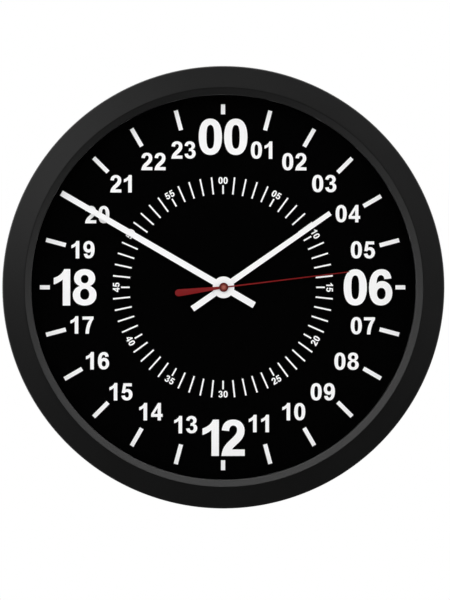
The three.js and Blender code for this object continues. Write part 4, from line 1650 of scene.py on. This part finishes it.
@dataclass
class MovementBox:
    """The movement's box, with its train room and battery bay, and its rear plate."""

    corner: float = 4.0
    wall: float = 1.2
    front_wall: float = 1.8
    front_round: float = 0.7
    rear_round: float = 0.3
    bay_bottom: float = -26.8
    bay_top: float = -12.0
    bay_corner: float = 1.0
    plate_line: float = -11.4
    plate_seat: float = 1.7
    plate_round: float = 0.5
    finger_cut: float = 16.0
    finger_drop: float = 6.0
    post_radius: float = 2.0
    post_inset: float = 4.3
    post_rise: float = 3.1
    post_margin: float = 0.45
    post_sunk: float = 0.5
    sign_rise: float = 4.2
    sign_inset: float = 6.5
    sign_arm: float = 2.0
    sign_width: float = 0.8
    sign_height: float = 0.25
    sign_sunk: float = 0.1
    arrow_inner: float = 8.2
    arrow_outer: float = 9.2
    arrow_head: float = 1.5
    arrow_turns: tuple[float, float, float] = (40, 112, 125)

    def build(self) -> None:
        """Makes the box and the plate."""
        box = Span.of("movement_housing")
        floor = box.front - self.front_wall
        inner = box.right - self.wall
        body = Form.plate([outline_of(box, self.corner)], box.rear, box.front)
        body.rounded_at(self.front_round, box.front, 3).rounded_at(self.rear_round, box.rear)
        body.cut(Cut.CARVE, *self._hollows(box, inner, floor)).cut(Cut.JOIN, *self._posts(inner, floor))
        body.piece("movement_box", MOVEMENT_BLACK, Body.CLOCK, "movement_housing")
        self._rear_plate()

    def _hollows(self, box: Span, inner: float, floor: float) -> list[Form]:
        """Makes what is cut away: the room, the bay, the plate's seat, the finger's way and the bush's hole.

        Args:
            box: The box's reach.
            inner: The inner face of its side walls.
            floor: The inner face of its front wall.

        Returns:
            The cutters.
        """
        room = rounded_rect(-inner, inner, self.bay_top + self.wall, inner, self.corner - self.wall)
        bay = rounded_rect(-inner, inner, self.bay_bottom, self.bay_top, self.bay_corner, 4)
        left, right, top = box.left - OVERCUT, box.right + OVERCUT, box.top + OVERCUT
        seat = [(left, self.plate_line), (right, self.plate_line), (right, top), (left, top)]
        half = self.finger_cut / 2
        finger = rounded_rect(-half, half, box.bottom - self.finger_drop, self.bay_bottom + OVERCUT,
                              self.bay_corner, 2)
        ends = ((room, floor), (bay, floor), (seat, box.rear + self.plate_seat),
                (finger, floor - SEAT_GAP - CELL_RADIUS))
        hole = Form.plate([circle(BUSH_RADIUS + RUN_GAP, 32)], floor - OVERCUT, box.front + OVERCUT)
        return [*(Form.plate([outline], box.rear - OVERCUT, end) for outline, end in ends), hole]

    def _posts(self, inner: float, floor: float) -> list[Form]:
        """Makes the four posts under the train bridge.

        Args:
            inner: The inner face of the box's side walls.
            floor: The inner face of its front wall.

        Returns:
            The posts.
        """
        bridge = Span.of("train_bridge")
        rows = (bridge.bottom + self.post_rise, bridge.top - self.post_radius - self.post_margin)
        columns = (self.post_inset - inner, inner - self.post_inset)
        outlines = [circle(self.post_radius, 24, (x, y)) for y in rows for x in columns]
        return [Form.plate([post], bridge.front + SEAT_GAP, floor + self.post_sunk) for post in outlines]

    def _rear_plate(self) -> None:
        """Makes the rear plate, with raised polarity signs and the arrow round the knob."""
        plate = Span.of("movement_rear_plate")
        knob = Span.of("setting_knob").middle
        outlines = [outline_of(plate, self.corner), circle(KNOB_BORE, 32, knob)]
        body = Form.plate(outlines, plate.rear, plate.front)

        def outer_rim(edge: BMEdge) -> bool:
            """Tells whether an edge lies on the plate's rear face, away from the knob's hole."""
            away = all(math.dist((v.co.x, v.co.y), knob) > 2 * KNOB_BORE for v in edge.verts)
            return away and all(abs(v.co.z - plate.rear) < NEAR for v in edge.verts)

        body.rounded(self.plate_round, outer_rim, 3)
        body.with_forms(Form.plate([sign], plate.rear - self.sign_height, plate.rear + self.sign_sunk)
                        for sign in self._signs(plate, knob))
        body.piece("movement_lid", MOVEMENT_BLACK, Body.CLOCK, "movement_rear_plate")

    def _signs(self, plate: Span, knob: Point) -> list[Outline]:
        """Draws plus and minus above the battery's ends and an arrow round the knob.

        Args:
            plate: The rear plate's reach.
            knob: The knob's middle.

        Returns:
            The outlines.
        """
        y = plate.bottom + self.sign_rise
        arm, half = self.sign_arm, self.sign_width / 2
        plus = cross_outline(self.sign_width, arm)
        minus = [(-arm, -half), (arm, -half), (arm, half), (-arm, half)]
        inner, outer = self.arrow_inner, self.arrow_outer
        start, end, point = self.arrow_turns
        head = ((outer + self.arrow_head / 2, end), ((inner + outer) / 2, point),
                (inner - self.arrow_head / 2, end))
        arrow = arc(outer, start, end, 18, knob)
        arrow += [arc(radius, turn, turn, 1, knob)[0] for radius, turn in head]
        arrow += arc(inner, end, start, 18, knob)
        places = ((plus, plate.right - self.sign_inset), (minus, plate.left + self.sign_inset))
        return [*([(x + at, v + y) for x, v in sign] for sign, at in places), arrow]


@dataclass
class Knob:
    """The fluted setting knob, with a dished rear face."""

    flutes: int = 16
    flute_steps: int = 8
    flute_depth: float = 0.6
    rear_round: float = 0.3
    floor: float = 0.9
    dish_rim: float = 1.6
    dish_foot: float = 2.6
    dish_edge: float = 0.1
    dish_depth: float = 0.7
    rim_round: float = 0.3
    foot_round: float = 0.8

    def build(self) -> None:
        """Makes the knob."""
        knob = Span.of("setting_knob")
        radius = (knob.right - knob.left) / 2
        steps = self.flutes * self.flute_steps
        outline: Outline = []
        for i in range(steps):
            angle = FULL_TURN * i / steps
            wave = (0.5 - 0.5 * math.cos(angle * self.flutes)) ** 2
            reach = radius - self.flute_depth * wave
            outline.append((reach * math.cos(angle), reach * math.sin(angle)))
        body = Form.plate([outline], knob.rear, knob.front)
        body.rounded_at(self.rear_round, knob.rear)
        dish = [
            Corner(0.0, knob.rear - OVERCUT),
            Corner(radius - self.dish_rim, knob.rear - OVERCUT),
            Corner(radius - self.dish_rim, knob.rear + self.dish_edge, self.rim_round, 3),
            Corner(radius - self.dish_foot, knob.rear + self.dish_depth, self.foot_round, 4),
            Corner(0.0, knob.rear + self.dish_depth),
        ]
        bore = Form.plate([circle(KNOB_BORE, 32)], knob.rear + self.floor, knob.front + OVERCUT)
        body.cut(Cut.CARVE, Form.turned(dish, 64), bore)
        body.moved(*knob.middle).piece("fluted_knob", MOVEMENT_BLACK, Body.MOTION, "setting_knob")


@dataclass
class Clamp:
    """The bush, the two washers and the nut that clamp the movement to cover and dial."""

    bore: float = 2.85
    bore_round: float = 0.15
    flange: float = 5.3
    flange_height: float = 0.8
    flange_round: float = 0.1
    lead: float = 0.5
    thread_pitch: float = 0.75
    thread_depth: float = 0.25
    rubber_round: float = 0.3
    brass_round: float = 0.12
    nut_flats: float = 12.0
    nut_turn: float = 30.0
    nut_crown: float = 5.72
    nut_chamfer: float = 0.1

    def build(self) -> None:
        """Makes the four pieces."""
        self._bush()
        for name, node, edge, finish in (("soft_washer", "rubber_washer", self.rubber_round, RUBBER_BLACK),
                                         ("flat_washer", "brass_washer", self.brass_round, BRASS)):
            section = disc_section(Span.of(node), BUSH_HOLE, edge, 3)
            Form.turned(section).piece(name, finish, Body.CLOCK, node)
        self._nut()

    def _bush(self) -> None:
        """Turns the threaded bush."""
        bush = Span.of("threaded_bush")
        shank = bush.rear + self.flange_height
        section = [
            Corner(self.bore, bush.rear),
            Corner(self.flange, bush.rear, self.flange_round, 2),
            Corner(self.flange, shank, self.flange_round, 2),
            Corner(BUSH_RADIUS, shank),
            *thread_ridges(BUSH_RADIUS, self.thread_depth, self.thread_pitch, shank, bush.front),
            Corner(BUSH_RADIUS - self.lead, bush.front),
            Corner(self.bore, bush.front, self.bore_round, 2),
        ]
        Form.turned(section).piece("bush_thread", BRASS, Body.CLOCK, "threaded_bush")

    def _nut(self) -> None:
        """Makes the hexagon nut, chamfered in front."""
        nut = Span.of("hex_nut")
        corner = self.nut_flats / math.sqrt(3)
        blank = Form.plate([circle(corner, 6), circle(BUSH_RADIUS + RUN_GAP, 32)], nut.rear, nut.front)
        chamfer = [
            Corner(0.0, nut.rear - OVERCUT),
            Corner(corner + OVERCUT, nut.rear - OVERCUT),
            Corner(corner + OVERCUT, nut.front - self.nut_chamfer),
            Corner(self.nut_crown, nut.front + self.nut_chamfer),
            Corner(0.0, nut.front + self.nut_chamfer),
        ]
        blank.rotated(self.nut_turn, (0, 0, 1)).cut(Cut.KEEP, Form.turned(chamfer))
        blank.piece("clamp_nut", BRASS, Body.CLOCK, "hex_nut")


@dataclass
class Cell:
    """The battery, lying along x: a sleeve shrunk over the edges of a steel can."""

    length: float = 49.2
    sleeve_wall: float = 0.25
    sleeve_lap: float = 1.0
    sleeve_round: float = 0.7
    inset: float = 0.3
    rim: float = 0.1
    groove_inner: float = 1.2
    groove_outer: float = 0.9
    groove_round: float = 0.2
    nub_radius: float = 2.7
    nub_length: float = 1.0
    nub_flare: float = 0.5
    nub_foot_round: float = 0.3
    nub_tip_round: float = 0.35

    def build(self) -> None:
        """Makes the sleeve and the can."""
        reach = Span.of("battery")
        y = reach.middle[1]
        z = (reach.rear + reach.front) / 2
        for name, section, finish, nodes in (
            ("cell_sleeve", self._sleeve(), CELL_SLEEVE, ("battery",)),
            ("cell_can", self._can(), STEEL, ()),
        ):
            lying = Form.turned(section, 64).rotated(90, (0, 1, 0)).moved(0, y, z)
            lying.piece(name, finish, Body.CELL, *nodes)

    def _sleeve(self) -> list[Corner]:
        """Gives the section of the sleeve.

        Returns:
            The section's corners.
        """
        half, wall = self.length / 2, self.sleeve_wall
        lap = CELL_RADIUS - self.sleeve_lap
        return [
            Corner(lap, -half),
            Corner(CELL_RADIUS, -half, self.sleeve_round, 4),
            Corner(CELL_RADIUS, half, self.sleeve_round, 4),
            Corner(lap, half),
            Corner(lap, half - wall),
            Corner(CELL_RADIUS - wall, half - wall),
            Corner(CELL_RADIUS - wall, wall - half),
            Corner(lap, wall - half),
        ]

    def _can(self) -> list[Corner]:
        """Gives the section of the can, with a groove in its flat end and a nub on the other.

        Returns:
            The section's corners.
        """
        half, radius = self.length / 2, CELL_RADIUS - self.inset
        lap = CELL_RADIUS - self.sleeve_lap
        return [
            Corner(0.0, self.inset - half),
            Corner(lap - self.groove_inner, self.inset - half, self.groove_round, 2),
            Corner(lap - self.groove_outer, self.rim - half + self.sleeve_wall),
            Corner(radius, self.inset - half),
            Corner(radius, half - self.inset),
            Corner(self.nub_radius + self.nub_flare, half - self.inset),
            Corner(self.nub_radius, half - self.rim, self.nub_foot_round, 2),
            Corner(self.nub_radius, half + self.nub_length, self.nub_tip_round, 4),
            Corner(0.0, half + self.nub_length),
        ]


class InnerWorks:
    """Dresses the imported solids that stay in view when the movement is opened."""

    FINISHES: tuple[tuple[Finish, tuple[str, ...]], ...] = (
        (GEAR_IVORY, ("train_bridge", "coil_bobbin", "rotor_pinion", "intermediate_wheel", "second_wheel",
                      "third_wheel", "centre_wheel", "motion_wheel", "hour_wheel")),
        (STEEL, ("contact_negative", "contact_positive", "minute_cannon", "quartz_crystal")),
        (DARK_STEEL, ("stator", "coil_core", "rotor_magnet")),
        (COPPER_WIRE, ("coil_winding",)),
        (BOARD_GREEN, ("circuit_board",)),
        (RUBBER_BLACK, ("driver_chip",)),
    )

    def build(self) -> None:
        """Gives each solid its finish."""
        for finish, nodes in self.FINISHES:
            for node in nodes:
                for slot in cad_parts[node].material_slots:
                    slot.material = finish.material()
                LOG.info("%s: %s", node, finish.name)


def aimed(place: Vector, look: Vector) -> Matrix:
    """Gives the placing of a lamp or camera.

    Args:
        place: Where it stands.
        look: The direction in which it looks.

    Returns:
        The matrix.
    """
    return Matrix.Translation(place) @ look.to_track_quat("-Z", "Y").to_matrix().to_4x4()


@dataclass(frozen=True)
class Softbox:
    """A square soft lamp that looks at the clock; places are in metres."""

    name: str
    place: tuple[float, float, float]
    aim: tuple[float, float, float]
    width: float
    height: float
    power: float
    in_gloss: bool = True

    def build(self) -> None:
        """Hangs the lamp."""
        data = bpy.data.lights.new(self.name, "AREA")
        data.shape = "RECTANGLE"
        data.size = self.width
        data.size_y = self.height
        data.energy = self.power
        lamp = bpy.data.objects.new(self.name, data)
        place = Vector(self.place)
        lamp.matrix_world = aimed(place, Vector(self.aim) - place)
        lamp.visible_camera = False
        lamp.visible_glossy = self.in_gloss
        bpy.context.scene.collection.objects.link(lamp)


@dataclass
class Studio:
    """The floor, the lamps and the white backdrop.

    The dome's ramps are given by their two ends, along its own slant or along the world's y.
    """

    floor_drop: float = 1.6
    floor_radius: float = 0.55
    floor_sides: int = 96
    ambient: float = 0.5
    room: float = 0.035
    dome: float = 4.5
    dome_slant: tuple[float, float] = (0.95, 0.3)
    dome_rise: tuple[float, float] = (-1.4, 1.0)
    front_edge: tuple[float, float] = (-0.42, -0.1)
    rear_edge: tuple[float, float] = (0.1, 0.5)
    rear_dimming: float = 0.7
    wall_edge: tuple[float, float] = (0.75, 0.97)
    lamps: tuple[Softbox, ...] = (
        Softbox("key_softbox", (-0.95, -1.35, 0.75), (0.0, 0.0, 0.0), 1.1, 1.1, 3.1),
        Softbox("front_fill", (-0.2, -2.4, 0.35), (0.0, 0.0, 0.0), 1.8, 1.8, 31.0, False),
    )

    def build(self) -> None:
        """Makes the stage."""
        for lamp in self.lamps:
            lamp.build()
        self._floor()
        self._backdrop()
        bpy.context.scene.view_settings.view_transform = "Standard"

    def _floor(self) -> None:
        """Lays a round floor below the clock."""
        mesh = bmesh.new()
        bmesh.ops.create_circle(mesh, cap_ends=True, segments=self.floor_sides, radius=self.floor_radius)
        bmesh.ops.translate(mesh, verts=mesh.verts[:], vec=(0, 0, -self.floor_drop))
        data = bpy.data.meshes.new("floor")
        mesh.to_mesh(data)
        mesh.free()
        floor = bpy.data.objects.new("floor", data)
        data.materials.append(FLOOR_PALE.material())
        bpy.context.scene.collection.objects.link(floor)

    def _backdrop(self) -> None:
        """Sets a white backdrop, even light on what is lit, and a dome brighter above in what is glossy."""
        world = bpy.data.worlds.new("studio")
        world.use_nodes = True
        bpy.context.scene.world = world
        graph = Graph(world.node_tree)
        path = graph.node("ShaderNodeLightPath", {}, {})
        camera = Signal(graph, path.outputs["Is Camera Ray"])
        glossy = Signal(graph, path.outputs["Is Glossy Ray"])
        through = Signal(graph, path.outputs["Is Transmission Ray"])
        heading = graph.signal("ShaderNodeTexCoord", {}, {}, "Generated")
        parts = graph.node("ShaderNodeSeparateXYZ", {}, {0: heading})
        x, y, z = (Signal(graph, output) for output in parts.outputs)
        slant = self.dome_slant[0] * z - self.dome_slant[1] * x
        above = graph.ramp(slant, *self.dome_rise) * graph.ramp(y, *self.front_edge)
        above = above * (1 - self.rear_dimming * graph.ramp(y, *self.rear_edge))
        behind = graph.ramp(y, *self.wall_edge)
        mirrored = (self.room + self.dome * above) * (1 - behind) + behind
        seen = camera + (1 - camera) * (glossy + through).at_most(1.0)
        shown = camera + (1 - camera) * mirrored
        strength = seen * shown + (1 - seen) * self.ambient
        white = graph.signal("ShaderNodeBackground", {}, {"Color": grey(1.0), "Strength": strength})
        graph.node("ShaderNodeOutputWorld", {}, {"Surface": white})


@dataclass
class Viewpoint:
    """The camera, at the photograph's view, with the sensor's width along the upright frame's height.

    Lengths are in metres, the sensor is in millimetres and angles are in degrees.
    """

    distance: float = 2.6
    azimuth: float = -2.6
    elevation: float = 0.2
    frame_height: float = 0.4823
    aim: tuple[float, float, float] = (0.00085, -0.041, -0.0102)
    sensor: float = 36.0

    def build(self) -> None:
        """Sets up the camera."""
        data = bpy.data.cameras.new("photo_camera")
        data.sensor_fit = "AUTO"
        data.sensor_width = self.sensor
        data.lens = self.sensor * self.distance / self.frame_height
        camera = bpy.data.objects.new("photo_camera", data)
        azimuth = math.radians(self.azimuth)
        elevation = math.radians(self.elevation)
        back = Vector((math.sin(azimuth) * math.cos(elevation),
                       -math.cos(azimuth) * math.cos(elevation), math.sin(elevation)))
        place = Vector(self.aim) + back * self.distance
        camera.matrix_world = aimed(place, -back)
        bpy.context.scene.collection.objects.link(camera)
        bpy.context.scene.camera = camera


def main() -> None:
    """Builds the clock in order, then the studio."""
    logging.basicConfig(level=logging.INFO, format="%(name)s %(message)s")
    for part in (Viewpoint(), Case(), Dial(), Hands(), RearCover(), MovementBox(), Knob(), Clamp(), Cell(),
                 InnerWorks(), Studio()):
        part.build()
        LOG.info("%s is done", type(part).__name__)


if __name__ == "__main__":
    main()
